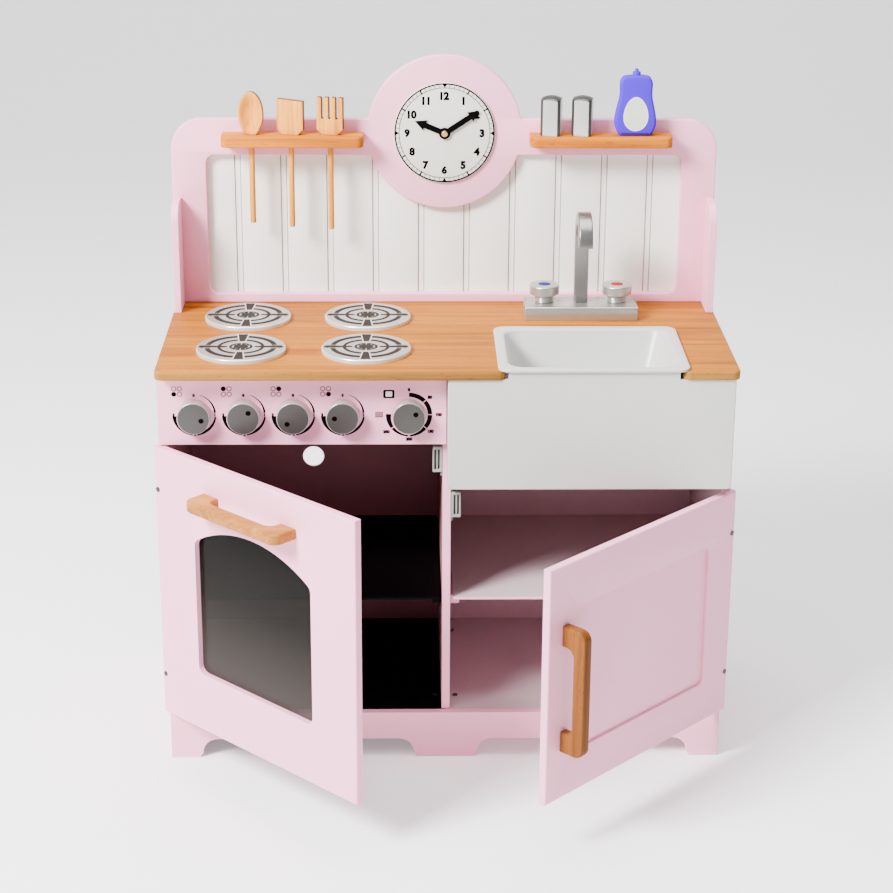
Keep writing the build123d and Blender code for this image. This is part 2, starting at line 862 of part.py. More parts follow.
# A clock hand: a round hub, a straight arm and an arrow head, turned clockwise from twelve.
def clock_hand(length, angle, front):
    neck = length - arrow_length
    half = hand_width / 2
    arm = frame_rectangle(-half, half, 0, neck + arrow_sweep)
    arrow = Polygon(
        (0, length), (-arrow_width / 2, neck - arrow_sweep), (0, neck), (arrow_width / 2, neck - arrow_sweep),
        align=None,
    )
    outline = Circle(hand_hub_diameter / 2) + arm + arrow - Circle(clock_pin_diameter / 2 + running_fit)
    return front_plate(Pos(0, clock_height) * Rot(0, 0, -angle) * outline, front, front + hand_thickness)


def hour_hand_front():
    return dial_front - hand_gap - hand_thickness


def minute_hand_front():
    return hour_hand_front() - hand_gap - hand_thickness


# The pin that both hands turn on, with a domed head.
def make_clock_pin():
    seat = minute_hand_front() - hand_gap
    shank = bar_to_back(0, seat, backboard_front + clock_pin_grip, clock_height, clock_pin_diameter)
    head = Cylinder(clock_pin_head / 2, clock_pin_head_height)
    head = fillet(head.edges().sort_by(Axis.Z)[-1:], clock_pin_head_height / 2)
    return shank + Pos(0, seat - clock_pin_head_height / 2, clock_height) * Rot(90, 0, 0) * head


# The shelf sheet of the left bay.
def bay_shelf():
    left = -inner_side + bay_shelf_gap
    right = -half_board - bay_shelf_gap
    front = half_board + bay_shelf_front_gap
    return block(left, right, front, carcass_back, bay_shelf_height - sheet, bay_shelf_height)


# The two battens under the shelf of the left bay, one on each side.
def bay_battens():
    top = bay_shelf_height - sheet
    y0 = half_board + batten_end_gap
    return [
        block(-inner_side, -inner_side + batten, y0, carcass_back, top - batten, top),
        block(-half_board - batten, -half_board, y0, carcass_back, top - batten, top),
    ]


# The magnetic catch of the left bay: a small block with an ear above and below, on the divider.
def catch(door_top):
    front = half_board + catch_setback
    bottom = door_top - catch_drop - catch_height
    body = block(
        -half_board - catch_width, -half_board, front, front + catch_depth, bottom, bottom + catch_height
    )
    middle = front + catch_depth / 2
    ears = block(
        -half_board - catch_ear_thickness, -half_board,
        middle - catch_ear_depth / 2, middle + catch_ear_depth / 2,
        bottom - catch_ear, bottom + catch_height + catch_ear
    )
    return body + ears


# The screws that hold the base boards, and those of the fixed hinge leaves.
def floor_screws():
    screws = []
    for x, y in floor_screw_places():
        shank = upright_bar(x, y, plinth_height - floor_screw_length, plinth_height, floor_screw_diameter)
        head = upright_bar(x, y, plinth_height, plinth_height + floor_screw_head_height, floor_screw_head)
        screws.append(shank + head)
    return screws


def leaf_screws(top):
    screws = []
    for height in hinge_heights(top):
        for x, z in leaf_screw_places(height):
            seat = half_board + leaf_screw_head_height
            head = bar_to_back(x, half_board, seat, z, leaf_screw_head)
            shank = bar_to_back(x, seat, half_board + leaf_screw_length, z, leaf_screw_diameter)
            screws.append(head + shank)
    return screws


# A closed door as it hangs on the left, with its hinge housings and its rounded front edge.
def door_blank(top):
    left = -half_width + door_gap
    door = block(left, -door_meeting_gap, door_front, door_back, door_bottom, top)
    door = fillet(door.faces().sort_by(Axis.Y)[0].edges(), door_edge)
    for height in hinge_heights(top):
        door -= knuckle_notch(height)
        door -= door_leaf_housing(height)
        hole = hinge_screw_diameter + 2 * fixed_fit
        door -= bar_to_back(-half_width + hinge_screw_inset, door_front - 1, board, height, hole)
    return door


# The arched outline of the oven window, widened by a margin.
def window_outline(margin):
    left = -half_width + window_left - margin
    right = -window_right + margin
    crown = oven_door_top - window_top
    middle = (left + right) / 2
    opening = frame_rectangle(left, right, door_bottom + window_bottom - margin, crown + 2 * margin)
    opening = opening & Pos(middle, crown - window_arch_radius) * Circle(window_arch_radius + margin)
    return fillet(opening.vertices(), window_corner)


# The places of the two screws of each handle, as x, z, on closed doors that hang on the left.
def oven_handle_screws():
    middle = -bay_centre - oven_handle_shift
    reach = (handle_length - handle_foot) / 2
    z = oven_door_top - oven_handle_drop
    return [(middle - reach, z), (middle + reach, z)]


def cupboard_handle_screws():
    x = -cupboard_handle_inset
    first = door_bottom + cupboard_handle_bottom + handle_foot / 2
    return [(x, first), (x, first + handle_length - handle_foot)]


def drill_handle_screws(door, places):
    for x, z in places:
        door -= bar_to_back(x, door_front - 1, board, z, handle_screw_diameter + 2 * fixed_fit)
    return door


# The oven door: an arched window, with a rebate at the back that holds the pane.
def make_oven_door():
    door = door_blank(oven_door_top)
    door -= front_plate(window_outline(0), door_front - 1, board)
    seat = door_back - pane_inset - pane_thickness
    door -= front_plate(window_outline(window_rebate), seat, board)
    return drill_handle_screws(door, oven_handle_screws())


def make_oven_window():
    seat = door_back - pane_inset - pane_thickness
    return front_plate(window_outline(window_rebate - pane_gap), seat, seat + pane_thickness)


# The cupboard door, with a sunk field in its front.
def make_cupboard_door():
    door = door_blank(cupboard_door_top)
    field = frame_rectangle(
        -half_width + field_left, -field_right,
        door_bottom + field_bottom, cupboard_door_top - field_top
    )
    field = fillet(field.vertices(), field_corner)
    door -= front_plate(field, door_front - 1, door_front + field_depth)
    return drill_handle_screws(door, cupboard_handle_screws())


# A bow handle, lying along X and standing up in Z, centred on its foot plane.
def bow_handle():
    half = handle_length / 2
    outer = frame_rectangle(-half, half, 0, handle_reach)
    outer = fillet(end_corners(outer, Axis.Y, -1), handle_outer_corner)
    inner_half = half - handle_foot
    inner = frame_rectangle(-inner_half, inner_half, -board, handle_finger_gap)
    inner = fillet(end_corners(inner, Axis.Y, -1), handle_inner_corner)
    bow = front_plate(outer - inner, -handle_width / 2, handle_width / 2)
    outer_edges = [
        edge for edge in bow.faces().filter_by(Axis.Y).edges()
        if edge.center().Z > handle_finger_gap + handle_edge
    ]
    bow = chamfer(outer_edges, handle_edge)
    for side in (-1, 1):
        hole = Cylinder(handle_screw_diameter / 2 + fixed_fit, 2 * (handle_screw_bite + running_fit))
        bow -= Pos(side * (half - handle_foot / 2), 0, 0) * hole
    return bow


def make_oven_handle():
    (x0, z), (x1, _) = oven_handle_screws()
    return Pos((x0 + x1) / 2, door_front, z) * Rot(90, 0, 0) * bow_handle()


def make_cupboard_handle():
    (x, z0), (_, z1) = cupboard_handle_screws()
    return Pos(x, door_front, (z0 + z1) / 2) * Rot(90, 0, 0) * Rot(0, 0, 90) * bow_handle()


# The barrel of one hinge between two heights, bored for the pin.
def barrel(z0, z1, bore):
    tube = upright_bar(-half_width, pin_line, z0, z1, knuckle_diameter)
    return tube - upright_bar(-half_width, pin_line, z0 - 1, z1 + 1, bore)


# The room that the other leaf's barrel needs in a leaf.
def barrel_room(z0, z1):
    return upright_bar(-half_width, pin_line, z0, z1, knuckle_diameter + 2 * knuckle_clearance)


# The leaf that is screwed to the side panel, with the outer two knuckles.
def frame_leaf(height):
    half = hinge_length / 2
    middle = knuckle_length / 2 + knuckle_gap
    leaf = block(
        -half_width, -half_width + leaf_width, half_board, half_board + leaf_thickness,
        height - half, height + half
    )
    leaf -= barrel_room(height - middle, height + middle)
    bore = hinge_pin_diameter + 2 * fixed_fit
    leaf -= upright_bar(-half_width, pin_line, height - half - 1, height + half + 1, bore)
    leaf += barrel(height - half, height - middle, bore)
    leaf += barrel(height + middle, height + half, bore)
    for x, z in leaf_screw_places(height):
        leaf -= bar_to_back(x, 0, board, z, leaf_screw_diameter + 2 * fixed_fit)
        leaf -= bar_to_back(x, 0, half_board + leaf_screw_head_height, z, leaf_screw_head + 2 * fixed_fit)
    return leaf


# The leaf that is screwed to the door, with the middle knuckle.
def door_leaf(height):
    half = hinge_length / 2
    middle = knuckle_length / 2
    room = middle + knuckle_gap / 2
    leaf = block(
        -half_width, -half_width + leaf_width, door_back - leaf_thickness, door_back,
        height - half, height + half
    )
    leaf -= barrel_room(height - half - 1, height - room)
    leaf -= barrel_room(height + room, height + half + 1)
    leaf -= upright_bar(-half_width, pin_line, height - half, height + half, pin_bore)
    leaf += barrel(height - middle, height + middle, pin_bore)
    hole = hinge_screw_diameter + 2 * fixed_fit
    return leaf - bar_to_back(-half_width + hinge_screw_inset, 0, board, height, hole)


# A headed pin through one hinge.
def hinge_pin(height):
    half = hinge_length / 2
    pin = upright_bar(-half_width, pin_line, height - half, height + half, hinge_pin_diameter)
    for side in (-1, 1):
        z = height + side * (half + hinge_pin_head_height / 2)
        pin += Pos(-half_width, pin_line, z) * Cylinder(hinge_pin_head / 2, hinge_pin_head_height)
    return pin


# The screws through a door into its hinge leaves, those of its handle, and its steel strike plate.
def door_fixings(top, handle_places):
    fixings = []
    for height in hinge_heights(top):
        x = -half_width + hinge_screw_inset
        head = bar_to_back(x, door_front - hinge_screw_head_height, door_front, height, hinge_screw_head)
        shank = bar_to_back(x, door_front, door_back, height, hinge_screw_diameter)
        fixings.append(head + shank)
    for x, z in handle_places:
        head = bar_to_back(x, door_back, door_back + handle_screw_head_height, z, handle_screw_head)
        shank = bar_to_back(x, door_front - handle_screw_bite, door_back, z, handle_screw_diameter)
        fixings.append(head + shank)
    right = -half_board - strike_inset
    middle = top - catch_drop - catch_height / 2
    fixings.append(block(
        right - strike_width, right, door_back, door_back + strike_thickness,
        middle - strike_height / 2, middle + strike_height / 2
    ))
    return fixings


# Swing a shape that belongs to the left door open about its pin line.
def swing(shape, angle):
    return shape.rotate(Axis((-half_width, pin_line, 0), (0, 0, 1)), -angle)


def swing_oven(shape):
    return swing(shape, oven_open_angle)


def swing_cupboard(shape):
    return mirrored(swing(shape, cupboard_open_angle))


# Write one sub-part from its solid or its list of solids.
def save(name, shape):
    solids = shape if isinstance(shape, list) else [shape]
    found = [solid for item in solids for solid in item.solids()]
    export_step(found[0] if len(found) == 1 else Compound(found), f"parts/{name}.step")


def save_carcass():
    save("side_panel_left", side_panel(oven_door_top))
    save("side_panel_right", mirrored(side_panel(cupboard_door_top)))
    save("divider_panel", make_divider())
    save("oven_base", base_board())
    save("cupboard_base", mirrored(base_board()))
    save("centre_bearer", make_bearer())
    save("back_panel", make_back_panel())
    save("plinth", make_plinth())
    save("worktop", make_worktop())
    save("control_panel", make_control_panel())
    save("oven_shelf", bay_shelf())
    save("cupboard_shelf", mirrored(bay_shelf()))
    save("oven_battens", bay_battens())
    save("cupboard_battens", [mirrored(item) for item in bay_battens()])
    save("magnetic_catches", [catch(oven_door_top), mirrored(catch(cupboard_door_top))])


def save_back():
    save("backboard", make_backboard())
    save("grooved_panel", make_grooved_panel())
    save("wing_left", make_wing_left())
    save("wing_right", mirrored(make_wing_left()))
    save("clock_dial", make_clock_dial())
    save("clock_pin", make_clock_pin())
    save("hour_hand", clock_hand(hour_hand_length, hour_hand_angle, hour_hand_front()))
    save("minute_hand", clock_hand(minute_hand_length, minute_hand_angle, minute_hand_front()))
    save("utensil_shelf", make_utensil_shelf())
    save("spice_shelf", small_shelf(spice_shelf_middle))
    save("spoon", make_spoon())
    save("spatula", make_spatula())
    save("fork", make_fork())
    left, right = shaker_places()
    save("shaker_left", shaker(left, [(-1, -1), (1, -1), (0, 0), (-1, 1), (1, 1)]))
    save("shaker_right", shaker(right, [(0, 0)]))
    save("bottle", make_bottle())


def save_hob():
    for row, row_name in enumerate(("front", "back")):
        for column, column_name in enumerate(("left", "right")):
            save(f"burner_{row_name}_{column_name}", burner(column, row))
    places = knob_places()
    for index, angle in enumerate(hob_dot_angles):
        save(f"hob_knob_{index + 1}", control_knob(places[index], angle))
    save("oven_knob", control_knob(places[-1], oven_dot_angle))


def save_sink():
    save("sink_front", make_sink_front())
    save("sink_rail", make_sink_rail())
    save("sink_basin", make_sink_basin())
    save("tap_base", make_tap_base())
    save("tap_spout", make_spout())
    cold, hot = tap_knob_places()
    save("tap_knob_cold", tap_knob(cold))
    save("tap_knob_hot", tap_knob(hot))
    save("spindles", make_knob_spindles() + make_tap_pins())


def save_doors():
    save("oven_door", swing_oven(make_oven_door()))
    save("oven_window", swing_oven(make_oven_window()))
    save("oven_handle", swing_oven(make_oven_handle()))
    save("cupboard_door", swing_cupboard(make_cupboard_door()))
    save("cupboard_handle", swing_cupboard(make_cupboard_handle()))
    oven_heights = hinge_heights(oven_door_top)
    cupboard_heights = hinge_heights(cupboard_door_top)
    save("oven_door_leaves", [swing_oven(door_leaf(height)) for height in oven_heights])
    save("cupboard_door_leaves", [swing_cupboard(door_leaf(height)) for height in cupboard_heights])
    oven_fixings = door_fixings(oven_door_top, oven_handle_screws())
    cupboard_fixings = door_fixings(cupboard_door_top, cupboard_handle_screws())
    save("oven_door_fixings", [swing_oven(item) for item in oven_fixings])
    save("cupboard_door_fixings", [swing_cupboard(item) for item in cupboard_fixings])
    leaves = [frame_leaf(height) for height in oven_heights]
    save("frame_leaves", leaves + [mirrored(frame_leaf(height)) for height in cupboard_heights])
    pins = [hinge_pin(height) for height in oven_heights]
    save("hinge_pins", pins + [mirrored(hinge_pin(height)) for height in cupboard_heights])
    screws = floor_screws() + leaf_screws(oven_door_top)
    save("carcass_screws", screws + [mirrored(item) for item in leaf_screws(cupboard_door_top)])


os.makedirs("parts", exist_ok=True)
save_carcass()
save_back()
save_hob()
save_sink()
save_doors()
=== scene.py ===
import math

import bmesh
import bpy
import numpy as np
from mathutils import Matrix, Vector
from mathutils.geometry import tessellate_polygon


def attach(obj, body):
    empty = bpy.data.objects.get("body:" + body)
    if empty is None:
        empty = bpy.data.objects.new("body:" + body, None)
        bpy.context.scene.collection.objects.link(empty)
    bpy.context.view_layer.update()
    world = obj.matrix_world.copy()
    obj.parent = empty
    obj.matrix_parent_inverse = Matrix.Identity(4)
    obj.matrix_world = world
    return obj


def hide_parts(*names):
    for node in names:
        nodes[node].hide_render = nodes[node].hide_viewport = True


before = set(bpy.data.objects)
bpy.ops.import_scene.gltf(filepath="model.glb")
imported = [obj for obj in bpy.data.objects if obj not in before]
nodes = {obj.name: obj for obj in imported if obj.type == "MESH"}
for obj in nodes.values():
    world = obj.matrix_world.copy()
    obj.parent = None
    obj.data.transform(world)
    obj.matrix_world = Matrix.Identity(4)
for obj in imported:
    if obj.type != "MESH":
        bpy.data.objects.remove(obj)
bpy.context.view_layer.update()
mm = 0.001
print("frame loaded:", len(nodes), "nodes")


# how a flat drawing is placed in the room, facing the front or facing up: across, up and out of the sheet
upright = np.array([(1, 0, 0), (0, 0, 1), (0, -1, 0)], float)
level = np.array([(1, 0, 0), (0, 1, 0), (0, 0, 1)], float)
link = bpy.context.scene.collection.objects.link


def pick(values, names):
    return [values[name] for name in names.split()]


def paint(red, green, blue):
    # screen colour 0..255 to the light values that shaders use
    c = np.array([red, green, blue]) / 255.0
    c = np.where(c < 0.04045, c / 12.92, ((c + 0.055) / 1.055) ** 2.4)
    return (*c, 1.0)


# finishes

white = (1, 1, 1, 1)


def feed(tree, socket, value):
    # a socket takes another node's output, or a plain value
    if isinstance(value, bpy.types.NodeSocket):
        tree.links.new(value, socket)
    else:
        socket.default_value = value


def addNode(tree, kind, sockets, **settings):
    node = tree.nodes.new(kind)
    for key, value in settings.items():
        setattr(node, key, value)
    for key, value in sockets.items():
        feed(tree, node.inputs[key], value)
    return node


def noise(tree, vector, scale, detail=2.0, rough=0.5, distortion=0.0):
    sockets = {"Vector": vector, "Scale": scale, "Detail": detail, "Roughness": rough, "Distortion": distortion}
    return addNode(tree, "ShaderNodeTexNoise", sockets).outputs["Fac"]


def stretched(tree, where, scale):
    return addNode(tree, "ShaderNodeMapping", {"Vector": where, "Scale": scale}).outputs["Vector"]


def grain(tree, where, along, length, width, *values):
    # noise drawn out along one axis, which gets the lower scale
    scale = [length if axis == along else width for axis in "xyz"]
    return noise(tree, stretched(tree, where, scale), *values)


def ramp(tree, fac, stops):
    node = addNode(tree, "ShaderNodeValToRGB", {"Fac": fac})
    while len(node.color_ramp.elements) < len(stops):
        node.color_ramp.elements.new(0.5)
    for element, (place, colour) in zip(node.color_ramp.elements, stops):
        element.position = place
        element.color = colour
    return node.outputs["Color"]


def shaded(colour, factor):
    return (*(np.array(colour[:3]) * factor), 1.0)


def cloudy(tree, fac, colour, spread):
    # the colour a little darker where the noise is low, and lighter where it is high
    return ramp(tree, fac, [(0.3, shaded(colour, 1 - spread)), (0.7, shaded(colour, 1 + spread))])


def multiplied(tree, fac, first, second):
    sockets = {0: fac, 6: first, 7: second}
    return addNode(tree, "ShaderNodeMix", sockets, data_type="RGBA", blend_type="MULTIPLY").outputs[2]


def remap(tree, value, middle, below, above):
    sockets = {"Value": value, "To Min": middle - below, "To Max": middle + above}
    return addNode(tree, "ShaderNodeMapRange", sockets).outputs["Result"]


def bump(tree, height, strength, distance):
    sockets = {"Height": height, "Strength": strength, "Distance": distance}
    return addNode(tree, "ShaderNodeBump", sockets).outputs["Normal"]


def sprayedPaint(tree, where, colour, roughness=0.42, gloss=0.3, spread=0.03, peel=0.05, coat=0.0):
    # a cloudy change of tone, a fine orange peel, and roughness that drifts a little
    return {
        "Base Color": cloudy(tree, noise(tree, where, 9.0, 3.0), colour, spread),
        "Roughness": remap(tree, noise(tree, where, 38.0, 3.0), roughness, 0.05, 0.05),
        "Normal": bump(tree, noise(tree, where, 420.0, 2.0), peel, 0.0004),
        "Coat Weight": coat,
        "Coat Roughness": 0.2,
        "Specular IOR Level": gloss,
    }


def beechWood(tree, where, along, light, dark):
    # soft bands along the grain, finer streaks, broad strands, and short dark flecks that lie with it
    bands = grain(tree, where, along, 0.9, 14, 2.2, 4.0, 0.55, 0.6)
    streaks = grain(tree, where, along, 9, 330, 1.0, 3.0, 0.6)
    broad = grain(tree, where, along, 2.7, 99, 1.0, 2.0, 0.5, 0.3)
    flecks = grain(tree, where, along, 110, 900, 1.0, 1.0, 0.4)
    base = ramp(tree, bands, [(0.3, dark), (0.5, shaded(light, 0.92)), (0.68, light)])
    line = ramp(tree, streaks, [(0.34, (0.62, 0.55, 0.45, 1)), (0.58, white)])
    strands = ramp(tree, broad, [(0.38, (0.6, 0.52, 0.4, 1)), (0.58, white)])
    spots = ramp(tree, flecks, [(0.66, white), (0.74, shaded(dark, 1.1))])
    worn = multiplied(tree, 0.6, multiplied(tree, 0.55, base, strands), line)
    return {
        "Base Color": multiplied(tree, 0.5, worn, spots),
        "Roughness": remap(tree, streaks, 0.5, 0.06, 0.08),
        "Normal": bump(tree, streaks, 0.12, 0.0003),
        "Specular IOR Level": 0.08,
    }


def flakePaint(tree, where, colour, metallic, roughness):
    # silver paint: tiny bright and dark flakes over a cloudy grey
    flakes = noise(tree, where, 2600.0, 1.0)
    cloud = ramp(tree, noise(tree, where, 30.0, 3.0), [(0.3, (0.94, 0.94, 0.94, 1)), (0.7, white)])
    return {
        "Base Color": multiplied(tree, 1.0, cloudy(tree, flakes, colour, 0.14), cloud),
        "Metallic": metallic,
        "Roughness": remap(tree, flakes, roughness, 0.06, 0.06),
        "Normal": bump(tree, noise(tree, where, 900.0, 2.0), 0.06, 0.0002),
    }


def clearSheet(tree, where, low, middle, high):
    # smoked acrylic whose colour grows lighter towards its foot, a painted reflection of the floor, with wipe marks in
    # its gloss
    height = addNode(tree, "ShaderNodeSeparateXYZ", {"Vector": where}).outputs["Z"]
    # painted reflection: the colour runs from lighter at the foot of the pane to near black at its top
    rise = addNode(tree, "ShaderNodeMapRange", {"Value": height, "From Min": 0.11, "From Max": 0.31})
    wipes = noise(tree, stretched(tree, where, (3, 3, 22)), 4.0, 3.0)
    return {
        "Base Color": ramp(tree, rise.outputs["Result"], [(0.0, low), (0.55, middle), (1.0, high)]),
        "Alpha": 0.72,
        "IOR": 1.49,
        "Specular IOR Level": 0.05,
        "Roughness": remap(tree, wipes, 0.03, 0.0, 0.07),
        "Normal": bump(tree, noise(tree, where, 14.0, 1.0), 0.01, 0.0003),
    }


def moulded(tree, where, colour, roughness=0.45, gloss=0.3):
    # plastic and ink: an even tone with a very fine grain
    fine = noise(tree, where, 1500.0, 2.0)
    return {
        "Base Color": cloudy(tree, noise(tree, where, 40.0, 2.0), colour, 0.03),
        "Roughness": remap(tree, fine, roughness, 0.04, 0.04),
        "Specular IOR Level": gloss,
        "Normal": bump(tree, fine, 0.05, 0.0002),
    }


def brushedSteel(tree, where, dark=0.5, light=0.68, roughness=0.3):
    brush = noise(tree, stretched(tree, where, (60, 2500, 2500)), 1.0, 2.0)
    return {
        "Base Color": ramp(tree, brush, [(0.3, (dark, dark, dark, 1)), (0.7, (light, light, light, 1))]),
        "Metallic": 1.0,
        "Roughness": remap(tree, brush, roughness, 0.06, 0.08),
    }


def paper(tree, where):
    return {"Base Color": (0.93, 0.93, 0.93, 1), "Roughness": 0.9, "Emission Color": white, "Emission Strength": 0.3}


def makeFinish(name, surface, *values):
    # a material whose shader takes what the surface gives for each socket; triples of values are screen colours
    material = bpy.data.materials.new(name)
    material.use_nodes = True
    tree = material.node_tree
    where = addNode(tree, "ShaderNodeTexCoord", {}).outputs["Object"]
    values = [paint(*value) if isinstance(value, tuple) else value for value in values]
    for key, value in surface(tree, where, *values).items():
        feed(tree, tree.nodes["Principled BSDF"].inputs[key], value)
    return material


finishTable = {
    "pinkPaint": (sprayedPaint, (243, 168, 195)),
    "creamPaint": (sprayedPaint, (240, 238, 230), 0.45),
    # a darker paint for the walls of the channels: painted shade
    "channelPaintedShade": (sprayedPaint, (152, 141, 138), 0.5, 0.1),
    # darker copies of the pink paint: painted shade for the inner faces of the bays
    "innerPaintedShade": (sprayedPaint, (194, 172, 176), 0.5, 0.1),
    "ovenPaintedShade": (sprayedPaint, (152, 102, 111), 0.5, 0.1),
    "blackPaint": (sprayedPaint, (5, 3, 4), 0.5, 0.03, 0.1),
    "sinkPaint": (sprayedPaint, (186, 186, 180), 0.3, 0.3, 0.015, 0.03, 0.1),
    "violetPaint": (sprayedPaint, (66, 0, 196), 0.5, 0.05, 0.05, 0.08),
    "dialFace": (moulded, (206, 206, 196), 0.5),
    "burnerSilver": (flakePaint, (166, 163, 160), 0.5, 0.34),
    "rimSilver": (flakePaint, (226, 223, 219), 0.5, 0.26),
    "knobSilver": (flakePaint, (184, 182, 177), 0.42, 0.28),
    "knobFace": (flakePaint, (64, 62, 60), 0.5, 0.36),
    "spoutSilver": (flakePaint, (132, 130, 127), 0.85, 0.28),
    "silverPaint": (flakePaint, (184, 182, 177), 0.8, 0.32),
    # a darker silver: painted shade for the chamfers and domes of the shakers
    "silverShade": (flakePaint, (84, 82, 80), 0.8, 0.3),
    "shakerSilver": (flakePaint, (206, 206, 200), 0.6, 0.34),
    "pinBrass": (flakePaint, (204, 164, 116), 0.8, 0.24),
    "beechAcross": (beechWood, "x", (180, 110, 22), (146, 78, 10)),
    "beechEdge": (beechWood, "x", (158, 114, 50), (126, 84, 34)),
    "beechShelf": (beechWood, "x", (214, 124, 16), (184, 98, 8)),
    "beechPale": (beechWood, "z", (248, 168, 66), (216, 130, 36)),
    "handleAcross": (beechWood, "x", (184, 124, 60), (158, 98, 42)),
    "handleUpright": (beechWood, "z", (130, 78, 34), (106, 58, 20)),
    "blackPlastic": (moulded, (5, 3, 3), 0.5, 0.03),
    "whitePlastic": (moulded, (140, 143, 137), 0.4),
    "greyPlastic": (moulded, (70, 72, 70), 0.4, 0.15),
    "blackInk": (moulded, (5, 3, 3), 0.6, 0.02),
    "greyInk": (moulded, (42, 36, 33), 0.6, 0.04),
    "plateInk": (moulded, (196, 192, 188), 0.5, 0.2),
    "darkInk": (moulded, (38, 18, 25), 0.6, 0.03),
    "trackInk": (moulded, (34, 35, 34), 0.6, 0.04),
    "whiteInk": (moulded, (240, 240, 238), 0.6, 0.1),
    "redPaint": (moulded, (150, 14, 12), 0.5, 0.05),
    "bluePaint": (moulded, (8, 38, 112), 0.5, 0.05),
    "labelPaper": (moulded, (206, 208, 190), 0.6),
    "labelEdge": (moulded, (238, 240, 222), 0.6),
    "steel": (brushedSteel,),
    "darkSteel": (brushedSteel, 0.03, 0.08),
    "pinSteel": (brushedSteel, 0.14, 0.3, 0.24),
    # the pane's colours at its foot, middle and top; the lighter foot is a painted reflection of the floor
    "clearPane": (clearSheet, (62, 57, 54), (26, 23, 21), (1, 1, 1)),
}
finish = {name: makeFinish(name, *values) for name, values in finishTable.items()}
print("finishes made:", len(finish))


# mesh makers; a shape is a pair of points and faces

def rework(mesh, change):
    work = bmesh.new()
    work.from_mesh(mesh)
    change(work)
    work.to_mesh(mesh)
    work.free()


def addMesh(name, mesh, body, finishName, replaces, crisp, smooth=True):
    # faces that meet at more than the crisp angle keep a sharp edge
    mesh.materials.clear()
    mesh.materials.append(finish[finishName])
    mesh.polygons.foreach_set("use_smooth", np.full(len(mesh.polygons), smooth))
    if crisp:
        mesh.set_sharp_from_angle(angle=math.radians(crisp))
    piece = bpy.data.objects.new(name, mesh)
    link(piece)
    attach(piece, body)
    if replaces:
        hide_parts(replaces)
    return piece


def addPiece(name, shape, body, finishName, replaces=None, crisp=None, smooth=True):
    points, faces = shape
    mesh = bpy.data.meshes.new(name)
    mesh.from_pydata(points.tolist(), [], [list(map(int, face)) for face in faces])
    rework(mesh, lambda work: bmesh.ops.recalc_face_normals(work, faces=work.faces))
    return addMesh(name, mesh, body, finishName, replaces, crisp, smooth)


def gridFaces(rows, columns, closedRows=False, closedColumns=False):
    # quads between neighbouring points of a rows by columns grid, stored row after row
    a, b = np.meshgrid(np.arange(rows - (not closedRows)), np.arange(columns - (not closedColumns)), indexing="ij")
    c, d = (a + 1) % rows, (b + 1) % columns
    return np.stack([a * columns + b, a * columns + d, c * columns + d, c * columns + b], -1).reshape(-1, 4)


def lifted(loop, height):
    # a flat loop as a ring in space
    return np.column_stack([loop, np.broadcast_to(height, len(loop))])


def tube(rings):
    # rings of equally many points joined to a tube, with one face over each end
    rows, columns = len(rings), len(rings[0])
    ends = [range(columns), range((rows - 1) * columns, rows * columns)]
    return np.concatenate(rings), [*gridFaces(rows, columns, closedColumns=True), *ends]


def pairs(numbers):
    # complex numbers as rows of x and y
    return np.stack([numbers.real, numbers.imag], 1)


def roundedLoop(corners, steps=10):
    # each corner (x, y, r) becomes an arc of radius r that touches both its sides
    points = []
    count = len(corners)
    for i, (x, y, r) in enumerate(corners):
        here = complex(x, y)
        if r <= 0:
            points.append([here])
            continue
        before, after = (complex(*corners[k][:2]) - here for k in (i - 1, (i + 1) % count))
        before, after = before / abs(before), after / abs(after)
        half = math.acos(np.clip((before * after.conjugate()).real, -1, 1)) / 2
        centre = here + (before + after) / abs(before + after) * r / math.sin(half)
        start, end = (here + side * r / math.tan(half) - centre for side in (before, after))
        points.append(centre + start * (end / start) ** np.linspace(0, 1, steps))
    return pairs(np.concatenate(points))


def roundedLine(corners, steps):
    # an open line of (across, height, rounding) corners with each inner corner rounded
    points = [np.array([corners[0][:2]], float)]
    for before, here, after in zip(corners, corners[1:], corners[2:]):
        points.append(roundedLoop([(*before[:2], 0), here, (*after[:2], 0)], steps)[1:-1])
    points.append(np.array([corners[-1][:2]], float))
    return np.concatenate(points)


def box(x0, y0, x1, y1, r=0.0, left=None):
    # a rectangle's corners, with a rounding of its own for the left ones if it is given
    left = r if left is None else left
    return [(x0, y0, left), (x1, y0, r), (x1, y1, r), (x0, y1, left)]


def arc(x, y, r, start, end, steps=24):
    return pairs(complex(x, y) + r * np.exp(1j * np.radians(np.linspace(start, end, steps))))


def holeLoop(x, y, r):
    return arc(x, y, r, 0, -360, 33)[:-1]


def inwardNormals(loop):
    # left-hand normal of the path at each point, lengthened so that both sides shift by one unit
    path = loop @ (1, 1j)
    before, after = (side / (abs(side) + 1e-12) * 1j for side in (path - np.roll(path, 1), np.roll(path, -1) - path))
    middle = (before + after) / (abs(before + after) + 1e-12)
    return pairs(middle / np.clip((middle * before.conj()).real, 0.5, 1))


def edgeProfile(thickness, front, back, steps=4):
    # (inset, height) along the rim of a plate: a quarter round, the straight wall, a quarter round
    if front == 0:
        return np.array([(0, 0), (0, thickness)], float)
    return np.concatenate([arc(back, back, back, -90, -180, steps),
                           arc(front, thickness - front, front, 180, 90, steps)])


